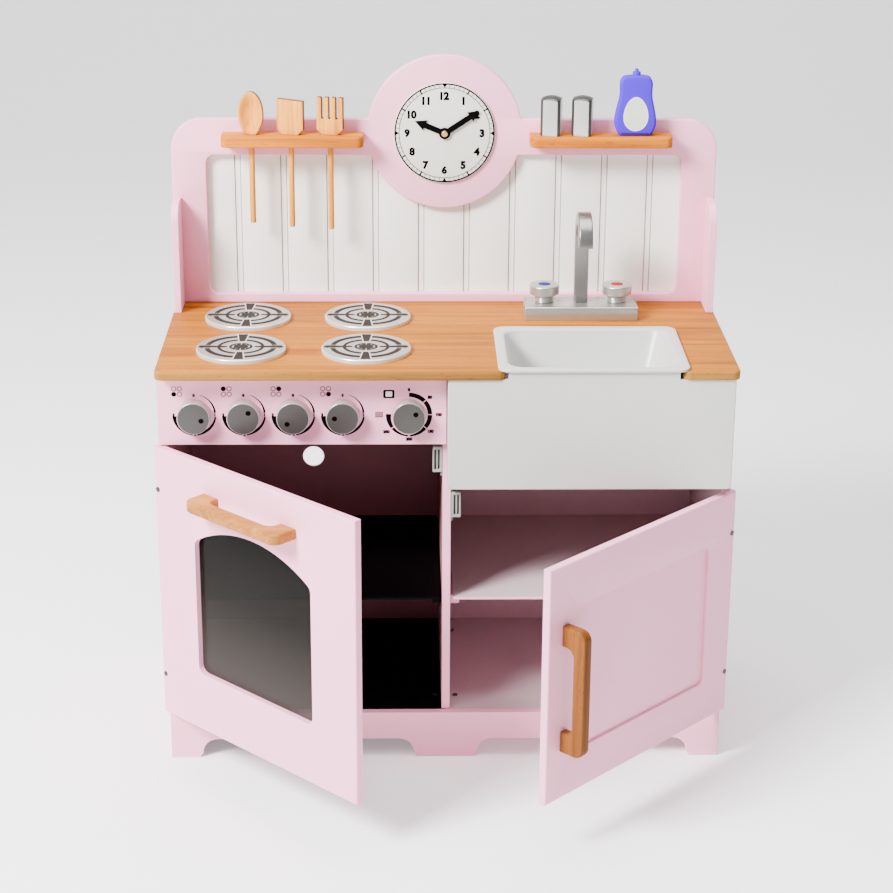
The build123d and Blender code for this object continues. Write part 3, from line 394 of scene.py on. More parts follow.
def plateShape(loops, profile):
    # each outline is repeated for every (inset, height) of the rim profile, and the first and last rings are filled
    # outlines run anticlockwise seen from the sheet's front, holes clockwise
    points, faces, ends, start = [], [], ([], []), 0
    for loop in loops:
        normals, count = inwardNormals(loop), len(loop)
        rings = [lifted(loop + normals * inset, z) for inset, z in profile]
        points += rings
        faces.extend(gridFaces(len(rings), count, closedColumns=True) + start)
        start += len(rings) * count
        for end, ring, first in zip(ends, (rings[0], rings[-1]), (start - len(rings) * count, start - count)):
            end.append((ring, range(first, first + count)))
    for end in ends:
        numbers = [number for _, ring in end for number in ring]
        outlines = [[Vector((x, y, 0)) for x, y, _ in ring] for ring, _ in end]
        faces += [[numbers[k] for k in triangle] for triangle in tessellate_polygon(outlines)]
    return np.concatenate(points), faces


def placed(shape, axes, origin):
    # from a drawing's own millimetres to the room's metres
    points, faces = shape
    return (points @ axes + np.asarray(origin, float)) * mm, faces


def addPlate(name, loops, thickness, edges, axes, origin, body, finishName, replaces):
    # the two edges are the roundings at the sheet's front and back
    shape = plateShape(loops, edgeProfile(thickness, *edges))
    return addPiece(name, placed(shape, axes, origin), body, finishName, replaces, 35)


def lathe(corners, steps, count):
    # (radius, height, rounding) corners turned about the upright axis, closed by a tiny face at each end
    axis = 0.01
    line = roundedLine([(axis, corners[0][1], 0), *corners, (axis, corners[-1][1], 0)], steps)
    return tube([lifted(arc(0, 0, radius, 0, 360, count + 1)[:-1], height) for radius, height in line])


def spin(degrees):
    # an anticlockwise turn about the third axis
    c, s = math.cos(math.radians(degrees)), math.sin(math.radians(degrees))
    return np.array([(c, s, 0), (-s, c, 0), (0, 0, 1)])


def joined(shapes):
    points, faces, start = [], [], 0
    for p, f in shapes:
        points.append(p)
        faces += [[k + start for k in face] for face in f]
        start += len(p)
    return np.concatenate(points), faces


def mergeTriangles(work):
    bmesh.ops.remove_doubles(work, verts=work.verts, dist=1e-6)
    bmesh.ops.dissolve_limit(work, angle_limit=math.radians(0.5), verts=work.verts, edges=work.edges)


def cutAtMiddle(work):
    geometry = list(work.verts) + list(work.edges) + list(work.faces)
    bmesh.ops.bisect_plane(work, geom=geometry, plane_co=(0, 0, 0), plane_no=(1, 0, 0))


def softenedBoard(node, body, finishName, width=0.6):
    # a board as the CAD cuts it, its triangles joined to whole faces and its sharp edges sanded by a small bevel
    mesh = nodes[node].data.copy()
    rework(mesh, mergeTriangles)
    piece = addMesh("sanded_" + node, mesh, body, finishName, node, 40)
    rounding = piece.modifiers.new("sandedEdge", "BEVEL")
    rounding.width = width * mm
    rounding.segments = 2
    rounding.limit_method = "ANGLE"
    rounding.angle_limit = math.radians(32)
    rounding.use_clamp_overlap = True
    rounding.harden_normals = True
    return piece


def paintWhere(piece, finishName, test):
    # faces whose direction and middle pass the test take one more finish
    mesh = piece.data
    mesh.materials.append(finish[finishName])
    normals, middles = (np.array([getattr(face, key) for face in mesh.polygons]) for key in ("normal", "center"))
    for number in np.flatnonzero(test(normals, middles)):
        mesh.polygons[int(number)].material_index = len(mesh.materials) - 1


# boards of the cabinet: slot, finish and nodes

boards = [
    ("pink_paint", "pinkPaint", (
        "side_panel_left", "side_panel_right", "divider_panel", "cupboard_base", "back_panel", "plinth",
        "cupboard_shelf", "cupboard_battens", "wing_left", "wing_right", "sink_rail", "centre_bearer",
        "control_panel")),
    ("black_paint", "blackPaint", ("oven_base", "oven_shelf", "oven_battens")),
]
# the inner faces of the bays take darker copies of the pink paint as painted shade, darkest in the oven bay; the sink
# rail takes it all over
paintedShadeFaces = [
    ("side_panel_left", "ovenPaintedShade", lambda n, c: n[:, 0] > 0.9),
    ("side_panel_right", "innerPaintedShade", lambda n, c: n[:, 0] < -0.9),
    ("cupboard_base", "innerPaintedShade", lambda n, c: n[:, 2] > 0.9),
    ("cupboard_shelf", "innerPaintedShade", lambda n, c: np.abs(n[:, 2]) > 0.9),
    ("sink_rail", "innerPaintedShade", lambda n, c: n[:, 0] < 2),
    ("back_panel", "ovenPaintedShade", lambda n, c: (n[:, 1] < -0.9) & (c[:, 0] < 0)),
    ("back_panel", "innerPaintedShade", lambda n, c: (n[:, 1] < -0.9) & (c[:, 0] > 0)),
    ("divider_panel", "ovenPaintedShade", lambda n, c: n[:, 0] < -0.9),
    ("divider_panel", "innerPaintedShade", lambda n, c: n[:, 0] > 0.9),
]
sanded = {}
for slotName, finishName, group in boards:
    for node in group:
        sanded[node] = softenedBoard(node, "cabinet", finishName, 0.4 if "shelf" in node else 0.8)
for node in ("back_panel", "divider_panel"):
    # each reaches into both bays, so it is cut at the middle before it is painted
    rework(sanded[node].data, cutAtMiddle)
for node, finishName, test in paintedShadeFaces:
    paintWhere(sanded[node], finishName, test)
softenedBoard("sink_front", "cabinet", "sinkPaint")
for node in ("oven_door", "cupboard_door"):
    softenedBoard(node, node, "pinkPaint", 1.3)
print("boards sanded")


# the worktop: one sheet of beech with a slot at its front for the sink

worktop = {"half": 300.0, "front": -28.5, "back": 244.0, "under": 443.7, "thick": 9.0, "edges": (1.6, 0.6),
           "slot": (58.8, 241.2, 112.0), "corner": 9, "mouthCorner": 8, "slotCorner": 12}


def makeWorktop():
    left, right, deep = worktop["slot"]
    half, front, back, corner, mouth, inner = pick(worktop, "half front back corner mouthCorner slotCorner")
    outline = roundedLoop([
        (-half, front, corner), (left, front, mouth), (left, deep, inner), (right, deep, inner), (right, front, mouth),
        (half, front, corner), (half, back, 0), (-half, back, 0),
    ])
    piece = addPlate("beechWorktop", [outline], worktop["thick"], worktop["edges"], level,
                     (0, 0, worktop["under"]), "cabinet", "beechAcross", "worktop")
    paintWhere(piece, "beechEdge", lambda n, c: np.abs(n[:, 2]) < 0.6)


makeWorktop()


# the backboard with its clock disc and window, and the grooved panel behind it

backboard = {"half": 300.0, "low": 452.7, "top": 661.0, "corner": 34.0, "disc": 84.75, "discHeight": 646.3,
             "blend": 4.0, "window": (262.0, 463.1, 620.8, 10.0), "back": 232.5, "thick": 9.0, "edges": (1.4, 0.5)}


def makeBackboard():
    half, low, top, disc, middle, blend = pick(backboard, "half low top disc discHeight blend")
    rise = top + blend - middle
    side = math.sqrt((disc + blend) ** 2 - rise ** 2)
    meet = math.degrees(math.atan2(rise, side))
    right = roundedLoop([(0, low, 0), (half, low, 0), (half, top, backboard["corner"]), (side, top, 0)], 16)
    outline = np.concatenate([
        right[:-1],
        arc(side, top + blend, blend, 270, 180 + meet, 8),
        arc(0, middle, disc, meet, 180 - meet, 96)[1:-1],
        arc(-side, top + blend, blend, 360 - meet, 270, 8),
        (right[::-1] * (-1, 1))[1:-1],
    ])
    wide, floor, ceiling, corner = backboard["window"]
    cut = math.sqrt(disc ** 2 - (ceiling - middle) ** 2)
    meet = math.degrees(math.atan2(ceiling - middle, cut))
    right = roundedLoop([(0, floor, 0), (wide, floor, corner), (wide, ceiling, corner), (cut, ceiling, 0)], 12)[:-1]
    left = right[:0:-1] * (-1, 1)
    hole = np.concatenate([right, arc(0, middle, disc, meet, -180 - meet, 64), left])[::-1]
    addPlate("paintedBackboard", [outline, hole], backboard["thick"], backboard["edges"], upright,
             (0, backboard["back"], 0), "cabinet", "pinkPaint", "backboard")


grooved = {"half": 272.0, "low": 452.7, "high": 630.8, "front": 232.5, "back": 236.5,
           "pitch": 50.7, "count": 10, "width": 7.4, "depth": 0.95, "wall": 0.16}


def makeGroovedPanel():
    # one line across the panel: at each channel it falls and rises as half a wave, and runs level between
    half, width, wall, face, back, count = pick(grooved, "half width wall front back count")
    centres = (np.arange(count) - (count - 1) / 2) * grooved["pitch"]
    side = np.linspace(0, wall, 9)
    local = np.concatenate([side - 0.5, 0.5 - side[::-1]])
    fall = grooved["depth"] * (1 - np.cos(np.pi * np.clip((0.5 - np.abs(local)) / wall, 0, 1))) / 2
    x = (centres[:, None] + local * width).ravel()
    front = np.stack([x, np.tile(face + fall, count)], 1)
    outline = np.concatenate([[(-half, face)], front, [(half, face), (half, back), (-half, back)]])
    piece = addPlate("groovedPanel", [outline], grooved["high"] - grooved["low"], (0, 0), level,
                     (0, 0, grooved["low"]), "cabinet", "creamPaint", "grooved_panel")
    # painted shade: the sloping walls of the channels take a darker paint
    paintWhere(piece, "channelPaintedShade", lambda n, c: (np.abs(n[:, 0]) > 0.2) & (np.abs(n[:, 0]) < 0.98))


makeBackboard()
makeGroovedPanel()
print("worktop and backboard made")


# the lift-out basin

basin = {"x": 150.0, "rim": (98.5, 75.75), "rimCentre": 46.25, "mouthCentre": 45.55, "mouthExtra": 0.2, "margin": 12.5,
         "top": 455.7, "seat": 452.7, "depth": 60.0, "wall": 1.6, "taper": 20.0, "floorInset": 62,
         "rimCorner": 12, "mouthCorner": 20, "floorCorner": 7}


def makeBasin():
    # rounded rectangles that shrink by an inset along a line from the outer floor, over the rim, to the inner floor
    slope = math.tan(math.radians(basin["taper"]))
    seat, top, wall, margin, depth, middle = pick(basin, "seat top wall margin depth floorInset")
    floor = seat - depth
    line = roundedLine([
        (middle, floor - wall, 0), (margin - wall + slope * (depth + wall), floor - wall, 9.6),
        (margin - wall, seat, 0.5), (0, seat, 0.2), (0, top, 1.3), (margin - slope * (top - seat) - 0.6, top, 3.4),
        (margin + slope * depth, floor, 8), (middle, floor, 0),
    ], 10)
    x, (rimX, rimY), rimCorner, mouthCorner = pick(basin, "x rim rimCorner mouthCorner")
    rings = []
    for inset, height in line:
        share = min(max(inset / margin, 0), 1)
        halfX, halfY = rimX - inset, rimY - inset + basin["mouthExtra"] * share
        corner = rimCorner + (mouthCorner - rimCorner) * share
        if inset >= margin:
            corner = max(mouthCorner - (inset - margin), basin["floorCorner"])
        y = basin["rimCentre"] + (basin["mouthCentre"] - basin["rimCentre"]) * share
        rings.append(lifted(roundedLoop(box(x - halfX, y - halfY, x + halfX, y + halfY, corner), 14), height))
    shape = placed(tube(rings), level, (0, 0, 0))
    addPiece("sinkBowl", shape, "sink_basin", "sinkPaint", "sink_basin", 50)


makeBasin()


# the tap: a bar, two turned knobs and a cane-shaped spout

tap = {"bar": (88.0, 150.4, 212.0, 194.4), "under": 452.7, "high": 15.4, "axis": 175.0, "foot": 468.4,
       "knobs": {"tap_knob_cold": (110.0, "bluePaint"), "tap_knob_hot": (190.0, "redPaint")},
       # what is turned, in how many steps each corner is rounded, and in how many the whole turn goes
       "knob": (((10.5, 0, 0.4), (10.5, 6.1, 1.0), (16.5, 9.6, 0.8), (16.5, 19.6, 1.8), (7.0, 19.6, 0.5),
                 (6.6, 19.0, 0.3)), 6, 80),
       "dot": (((6.9, 18.9, 0), (6.9, 19.55, 0.1)), 4, 48),
       "spout": {"half": (7.5, 6.5), "rise": 543.0, "bend": 25.25, "edge": 1.6, "x": 150.0}}


def makeTap():
    outline = roundedLoop(box(*tap["bar"], 1.2), 5)
    addPlate("tapBar", [outline], tap["high"], (2.0, 0.3), level, (0, 0, tap["under"]), "cabinet",
             "silverPaint", "tap_base")
    for node, (x, dotFinish) in tap["knobs"].items():
        turned, dot = (placed(lathe(*line), level, (x, tap["axis"], tap["foot"])) for line in (tap["knob"], tap["dot"]))
        addPiece("turned_" + node, turned, node, "silverPaint", node, 40)
        addPiece("dot_" + node, dot, node, dotFinish, None, 40)


def makeSpout():
    # a rounded oblong carried up a straight line and then round half a circle
    values = tap["spout"]
    (w, t), bend, rise = values["half"], values["bend"], values["rise"]
    x, out = roundedLoop(box(-w, -t, w, t, values["edge"]), 6).T
    stops = [(0, height) for height in np.linspace(tap["foot"], rise, 6)[:-1]]
    stops += [(a, rise) for a in np.radians(np.linspace(0, 180, 41))]
    middle = tap["axis"] - bend
    rings = [np.column_stack([x, middle + (bend + out) * math.cos(a), height + (bend + out) * math.sin(a)])
             for a, height in stops]
    shape = placed(tube(rings), level, (values["x"], 0, 0))
    addPiece("caneSpout", shape, "tap_spout", "spoutSilver", "tap_spout", 40)


makeTap()
makeSpout()
print("sink and tap made")


# prints: thin raised shapes on a flat face

def band(inner, outer, angles, lift=0.06, closed=False):
    # angles are in degrees clockwise from twelve; the radii may change along the way
    a = np.radians(90 - np.asarray(angles, float))
    inner = np.broadcast_to(inner, a.shape)
    outer = np.broadcast_to(outer, a.shape)
    r = np.stack([inner, outer, outer, inner], 1)
    w = np.array([lift, lift, -lift / 2, -lift / 2])
    points, faces = tube(np.stack([r * np.cos(a)[:, None], r * np.sin(a)[:, None], np.broadcast_to(w, r.shape)], -1))
    return points, list(gridFaces(len(a), 4, True, True)) if closed else faces


def fullBand(inner, outer, lift=0.06, steps=96):
    return band(inner, outer, np.linspace(0, 360, steps, endpoint=False), lift, True)


def flatShape(loop, lift=0.06):
    return plateShape([np.asarray(loop, float)], [(0, -lift / 2), (0, lift)])


def moved(shape, u, v, turn=0.0):
    # turned clockwise by some degrees about its own middle and then put at (u, v)
    points, faces = shape
    return points @ spin(-turn) + (u, v, 0), faces


def digits(text, height, u, v, weight):
    curve = bpy.data.curves.new("digits", "FONT")
    curve.body = text
    curve.extrude = 0.02
    curve.bevel_depth = weight
    curve.bevel_resolution = 0
    curve.resolution_u = 6
    holder = bpy.data.objects.new("digits", curve)
    mesh = bpy.data.meshes.new_from_object(holder)
    points = np.array([vertex.co for vertex in mesh.vertices])
    faces = [list(face.vertices) for face in mesh.polygons]
    low, high = points.min(0), points.max(0)
    flat = (points[:, :2] - (low[:2] + high[:2]) / 2) * height / (high[1] - low[1]) + (u, v)
    bpy.data.objects.remove(holder)
    bpy.data.meshes.remove(mesh)
    return np.column_stack([flat, np.where(points[:, 2] > 0, 0.06, -0.03)]), faces


def addPrint(name, shapes, axes, origin, body, finishName):
    addPiece(name, placed(joined(shapes), axes, origin), body, finishName, smooth=False)


# the hob: four plates with their printed rings

burners = {"places": {"burner_front_left": (-215.5, 43.0), "burner_front_right": (-84.5, 43.0),
                      "burner_back_left": (-215.5, 158.5), "burner_back_right": (-84.5, 158.5)},
           "radius": 47.0, "thick": 5.0, "under": 452.7, "disc": 12.4,
           # each ring's radii, and how much they draw together at its sides
           "rings": ((31.4, 38.3, 1.2, 0.3), (20.0, 25.4, 1.2, 0.8)),
           # distance, half width and rounding along one side of the bar and of the gap behind it
           "bar": ((14, 2.3, 2.1), (27, 3.0, 2), (34, 4.4, 2), (44.2, 4.7, 4.3)),
           "gap": ((29, 4.2, 0.5), (39.4, 5.7, 0.5))}


def wedge(outer, inner, wide, narrow):
    return [(-wide, outer), (-narrow, inner), (narrow, inner), (wide, outer)]


def bothSides(line, steps):
    return roundedLoop([(u, -v, r) for u, v, r in line] + [(u, v, r) for u, v, r in line[::-1]], steps)


def burnerPrint():
    # two rings that thin a little at their sides, two bars with round ends, two wedges and a lobed middle
    angles = np.linspace(0, 360, 145)[:-1]
    side = np.abs(np.sin(np.radians(angles))) ** 3
    dark = [band(inner + less * side, outer - more * side, angles, 0.06, True)
            for inner, outer, less, more in burners["rings"]]
    dark.append(fullBand(0, burners["disc"]))
    light = []
    spot = arc(0, 0, 1, 0, 360, 25)[:-1] * (0.75, 2.0) + (8.4, 0)
    marks = [
        (light, 0.08, wedge(44.6, 16.6, 6.7, 3.8)), (dark, 0.11, wedge(43.4, 17.8, 5.4, 2.9)),
        (light, 0.08, bothSides(burners["gap"], 4)), (dark, 0.1, bothSides(burners["bar"], 6)),
        (light, 0.08, spot), (light, 0.08, [(-0.6, 12.5), (0, 5.0), (0.6, 12.5)]),
    ]
    for turn in (0, 180):
        for shapes, lift, outline in marks:
            shapes.append(moved(flatShape(outline, lift), 0, 0, turn))
        for lean in (-62, -35, 35, 62):
            light.append(moved(flatShape(wedge(10.6, 7.4, 0.16, 0.13), 0.08), 0, 0, turn + lean))
    return dark, light


def makeBurners():
    r, thick, under = pick(burners, "radius thick under")
    dark, light = burnerPrint()
    for node, (x, y) in burners["places"].items():
        plate = placed(lathe([(r, 0, 0.3), (r, thick, 1.8)], 8, 96), level, (x, y, under))
        piece = addPiece("plate_" + node, plate, "cabinet", "burnerSilver", node, 50)
        paintWhere(piece, "rimSilver", lambda n, c: np.abs(n[:, 2]) < 0.85)
        for name, shapes, ink in (("rings_", dark, "greyInk"), ("gaps_", light, "plateInk")):
            addPrint(name + node, shapes, level, (x, y, under + thick), "cabinet", ink)


makeBurners()


# the turned knobs of the hob and the oven, and the dials printed round them

knobs = {"line": 398.7, "front": -4.9, "panel": -4.5, "foot": 17.4, "face": 17.0, "high": 13.0,
         "dot": 8.3, "dotRadius": 2.75, "oven": (-39.8, 32.0),
         "hob": ((-262.0, -15.0), (-210.8, 49.0), (-159.6, -136.0), (-108.4, 179.0))}
# each band runs from one angle to the next, and grows inwards from one thickness to the other
dials = {
    "hob": {"outer": 22.8, "bands": ((15, 84, 0.4, 2.4), (96, 174, 1.8, 4.0), (186, 266, 3.0, 6.0)),
            "size": 3.8, "weight": 0.1, "figures": (("0", 0, 21.3), ("1", 21.3, 0), ("2", 0, -21.3), ("3", -21.3, 0))},
    "oven": {"outer": 24.1, "bands": ((0, 47, 4.7, 4.7), (49, 89, 4.7, 4.7), (91, 129, 4.7, 4.7), (131, 178, 4.6, 1.6),
                                      (182, 229, 1.6, 3.4), (231, 272, 3.6, 6.0)),
             "size": 4.0, "weight": 0.095,
             "figures": (("0", 0, 27.4), ("50", 21.6, 19.0), ("100", 31.0, 0), ("150", 22.6, -18.4),
                         ("200", 0, -27.0), ("250", -23.6, -18.8))},
}
# the small sign of four plates over each hob knob, with the knob's own plate filled
plateMarks = {"places": [(-20.4, 22.6), (-20.4, 28.5), (-14.5, 22.6), (-14.5, 28.5)], "filled": (0, 1, 3, 2),
              "radius": 2.65, "ring": (1.9, 2.7)}
signs = {"lamp": (-20.8, 22.6), "grill": (-31.0, 0), "waves": (-2.1, 0.0, 2.1)}


def makeKnob(node, x, dotAngle):
    high, r = knobs["high"], knobs["dotRadius"]
    place = (x, knobs["front"], knobs["line"])
    turned = placed(lathe([(knobs["foot"], 0, 0.5), (knobs["face"], high, 0.9)], 8, 96), upright, place)
    piece = addPiece("turned_" + node, turned, node, "knobSilver", node, 50)
    paintWhere(piece, "knobFace", lambda n, c: n[:, 1] < -0.97)
    a = math.radians(dotAngle)
    dome = [(r, high - 0.1, 0), (r - 0.05, high, 0), (2.3, high + 0.04, 0), (1.0, high + 0.05, 0)]
    dot = moved(lathe(dome, 1, 32), knobs["dot"] * math.cos(a), knobs["dot"] * math.sin(a))
    addPiece("dot_" + node, placed(dot, upright, place), node, "blackInk")


def dialShapes(kind):
    values = dials[kind]
    shapes = []
    for start, end, thinStart, thinEnd in values["bands"]:
        inner = values["outer"] - np.linspace(thinStart, thinEnd, 40)
        shapes.append(band(inner, values["outer"], np.linspace(start, end, 40)))
    return shapes + [digits(text, values["size"], u, v, values["weight"]) for text, u, v in values["figures"]]


def ovenSigns():
    # three short waves for the grill, and a frame for the lamp
    u = np.linspace(-4.2, 4.2, 33)
    shapes = []
    for v in signs["waves"]:
        middle = v + 0.5 * np.sin(u * 2.2)
        loop = np.concatenate([np.stack([u, middle - 0.7], 1), np.stack([u, middle + 0.7], 1)[::-1]])
        shapes.append(moved(flatShape(loop), *signs["grill"]))
    outer, inner = roundedLoop(box(-5.9, -4.6, 5.9, 4.6, 1.4), 6), roundedLoop(box(-3.4, -2.8, 3.4, 2.8, 1), 6)
    shapes.append(moved(plateShape([outer, inner[::-1]], [(0, -0.03), (0, 0.06)]), *signs["lamp"]))
    return shapes


def dialPrint(name, shapes, x, ink):
    addPrint(name, shapes, upright, (x, knobs["panel"], knobs["line"]), "cabinet", ink)


def makeDials():
    places = plateMarks["places"]
    for number, ((x, angle), filled) in enumerate(zip(knobs["hob"], plateMarks["filled"]), 1):
        makeKnob(f"hob_knob_{number}", x, angle)
        own = moved(fullBand(0, plateMarks["radius"], 0.06, 32), *places[filled])
        dialPrint(f"dial_{number}", [*dialShapes("hob"), own], x, "blackInk")
        rings = [moved(fullBand(*plateMarks["ring"], 0.05, 32), *place) for place in places if place != places[filled]]
        dialPrint(f"plateMarks_{number}", rings, x, "darkInk")
    x, angle = knobs["oven"]
    makeKnob("oven_knob", x, angle)
    dialPrint("ovenDial", dialShapes("oven") + ovenSigns(), x, "blackInk")
    lamp = flatShape(roundedLoop(box(-3.3, -2.7, 3.3, 2.7, 0.9), 6), 0.04)
    dialPrint("lampSign", [moved(lamp, *signs["lamp"])], x, "whiteInk")


makeDials()
print("hob made")


# the clock

clock = {"radius": 55.5, "height": 646.0, "back": 223.5, "thick": 3.0, "figures": 41.0, "figureHeight": 9.3,
         "track": (49.4, 50.2), "circle": (53.3, 55.0),
         # each hand's length, the angle it shows and how far back it lies
         "hands": {"hour_hand": (35.2, 292.5, 220.2), "minute_hand": (45.5, 56.5, 218.7)}}


def makeDial():
    r, thick, back, height = pick(clock, "radius thick back height")
    face = placed(lathe([(r, 0, 0.3), (r, thick, 0.7)], 6, 128), upright, (0, back, height))
    addPiece("clockFace", face, "cabinet", "dialFace", "clock_dial", 50)
    front = (0, back - thick, height)
    grey = [fullBand(*clock["track"], 0.05, 160)]
    black = [fullBand(*clock["circle"], 0.07, 160)]
    for minute in range(60):
        # a triangle at each quarter, a long tick at each hour and a short one at each minute
        if minute % 15 == 0:
            shapes, outline, lift = black, [(0, 49.8), (3.0, 54.4), (-3.0, 54.4)], 0.06
        elif minute % 5 == 0:
            shapes, outline, lift = black, wedge(54.3, 48.9, 0.85, 0.85), 0.06
        else:
            shapes, outline, lift = grey, wedge(53.0, 50.2, 0.3, 0.3), 0.05
        shapes.append(moved(flatShape(outline, lift), 0, 0, minute * 6))
    for hour in range(1, 13):
        a, r = math.radians(90 - 30 * hour), clock["figures"]
        black.append(digits(str(hour), clock["figureHeight"], r * math.cos(a), r * math.sin(a), 0.072))
    addPrint("minuteTrack", grey, upright, front, "cabinet", "trackInk")
    addPrint("clockFigures", black, upright, front, "cabinet", "blackInk")


def makeHand(node, length, angle, back):
    neck = length - 11.0
    hub = arc(0, 0, 6.2, 120, 420, 60)
    head = [(3.1, neck - 0.75), (6.2, neck - 1.5), (0, length), (-6.2, neck - 1.5), (-3.1, neck - 0.75)]
    shape = np.concatenate([hub, head]) @ spin(-angle)[:2, :2]
    addPlate("arrow_" + node, [shape, holeLoop(0, 0, 2.05)], 1.2, (0.2, 0.2), upright,
             (0, back, clock["height"]), node, "blackPlastic", node)


makeDial()
for handNode, values in clock["hands"].items():
    makeHand(handNode, *values)
print("clock made")


# the small shelves and what stands on them

shelves = {"front": 194.0, "back": 223.5, "under": 635.0, "thick": 12.0, "half": 77.5, "line": 208.75, "top": 647.0,
           "edges": (1.6, 0.6), "corner": 8, "hole": 3.5, "utensils": (-210.5, -167.5, -124.5),
           "places": {"utensil_shelf": -166.0, "spice_shelf": 170.6}}


def makeShelf(node, x):
    half, front, back, corner, line, r = pick(shelves, "half front back corner line hole")
    outline = roundedLoop([(x - half, front, corner), (x + half, front, corner), (x + half, back, 0),
                           (x - half, back, 0)])
    holes = [holeLoop(hole, line, r) for hole in shelves["utensils"] if abs(hole - x) < half]
    addPlate("beech_" + node, [outline, *holes], shelves["thick"], shelves["edges"], level,
             (0, 0, shelves["under"]), "cabinet", "beechShelf", node)


# each utensil's place, the turn of its head, how far its stick goes down, and up to which slope its rim is darker
utensils = {"spoon": {"name": "woodenSpoon", "turn": -7, "drop": 98.4, "steep": 0.5},
            "spatula": {"name": "wooden_spatula", "turn": -11, "drop": 102.8, "steep": 0.7},
            "fork": {"name": "wooden_fork", "turn": -11, "drop": 105.6, "steep": 0.7},
            "half": 14.65, "thick": 8.0, "stick": 3.15, "stickTop": 3.8}


def addUtensil(node, head, x):
    values, top = utensils[node], shelves["top"]
    place = (x, shelves["line"], top)
    head = placed(head, upright @ spin(values["turn"]), place)
    stick = lathe([(utensils["stick"], -values["drop"], 0.6), (utensils["stick"], utensils["stickTop"], 0)], 6, 32)
    shape = joined([head, placed(stick, level, place)])
    piece = addPiece(values["name"], shape, node, "beechPale", node, 45)
    paintWhere(piece, "handleUpright", lambda n, c: (np.abs(n[:, 1]) < values["steep"]) & (c[:, 2] > top * mm))


def spoonHead():
    # copies of one oval, each drawn in to a share of its size and set at its own depth; the last ones sink as a dish
    a = np.linspace(0, 2 * np.pi, 96, endpoint=False)
    v = np.maximum(22 + 25.0 * np.sin(a), 0)
    centre = np.array((0.0, 22.0))
    oval = np.stack([13.8 * np.cos(a) * (1 - 0.12 * np.clip(1 - v / 16, 0, 1)), v], 1) - centre
    turn = np.linspace(0, np.pi / 2, 6)
    back = [(0.02, 0.0), (0.5, 0.0)] + [(0.84 + 0.16 * math.sin(t), 1.8 - 1.8 * math.cos(t)) for t in turn]
    front = [(1 - 0.07 * (1 - math.cos(t)), 7.0 + 1.0 * math.sin(t)) for t in turn]
    dish = [(0.9 - 0.88 * s, 8.0 - 4.6 * math.sin(min(1.0, 1.25 * s) * math.pi / 2) ** 1.3)
            for s in np.linspace(0.05, 1, 14)]
    return tube([lifted(centre + oval * share, depth - 4) for share, depth in back + front + dish])


def flatHead(corners):
    points, faces = plateShape([roundedLoop(corners, 6)], edgeProfile(utensils["thick"], 1.0, 1.0, 5))
    return points - (0, 0, utensils["thick"] / 2), faces


def makeUtensils():
    half = utensils["half"]
    foot = [(-half, 6, 2), (-8.65, 0, 1.2), (8.65, 0, 1.2), (half, 6, 2)]
    tine, gap, high, deep = 5.675, 2.2, 41.0, 17.7
    tines = [(half, high, 1.2)]
    for k in range(3):
        edge = half - tine - k * (tine + gap)
        tines += [(edge, high, 1.2), (edge, deep, 0.8), (edge - gap, deep, 0.8), (edge - gap, high, 1.2)]
    heads = {
        "spoon": spoonHead(),
        "spatula": flatHead([*foot, (half, 37, 1.2), (-half, 39.4, 1.2)]),
        "fork": flatHead([*foot, *tines, (-half, high, 1.2)]),
    }
    for (node, head), x in zip(heads.items(), shelves["utensils"]):
        addUtensil(node, head, x)


shaker = {"half": 10.9, "chamfer": 3.0, "high": 43.3, "dome": 24.0, "turn": -12.0, "rounding": 0.6, "spread": 4.5,
          "places": {"shaker_left": (115.965, ((-1, -1), (1, -1), (0, 0), (-1, 1), (1, 1))),
                     "shaker_right": (149.765, ((0, 0),))}}


def domeHeight(u, v):
    # the height of a ball's top over the shelf
    return shaker["high"] - shaker["dome"] + np.sqrt(shaker["dome"] ** 2 - u ** 2 - v ** 2)


def makeShaker(node, x, holes):
    # a square with cut corners, carried straight up and then drawn in over the top of a ball
    h, c, r = shaker["half"], shaker["half"] - shaker["chamfer"], shaker["rounding"]
    square = roundedLoop([(-c, -h, r), (c, -h, r), (h, -c, r), (h, c, r), (c, h, r), (-c, h, r), (-h, c, r),
                          (-h, -c, r)], 5)
    # each side of the loop in four steps
    square = np.linspace(square, np.roll(square, -1, 0), 4, endpoint=False, axis=1).reshape(-1, 2)
    rings = [lifted(square * 0.96, 0), lifted(square, 0.5), lifted(square, domeHeight(*square.T) - 0.9)]
    for share in (0.985, 0.95, 0.88, 0.75, 0.6, 0.45, 0.3, 0.15, 0.03):
        sink = 0.35 if share > 0.98 else 0.08 if share > 0.94 else 0.0
        rings.append(lifted(square * share, domeHeight(*(square * share).T) - sink))
    axes, place = spin(shaker["turn"]), (x, shelves["line"], shelves["top"])
    piece = addPiece("post_" + node, placed(tube(rings), axes, place), node, "shakerSilver", node, 40)
    # painted shade: the chamfers and the top of the dome take a darker silver
    paintWhere(piece, "silverShade", lambda n, c: ((np.abs(n[:, 0]) > 0.4) & (np.abs(n[:, 1]) > 0.4)) | (n[:, 2] > 0.2))
    dots = []
    for u, v in holes:
        points, faces = moved(fullBand(0, 0.85, 0.05, 20), shaker["spread"] * u, shaker["spread"] * v)
        points[:, 2] += domeHeight(points[:, 0], points[:, 1])
        dots.append((points, faces))
    addPrint("holes_" + node, dots, axes, place, node, "blackInk")


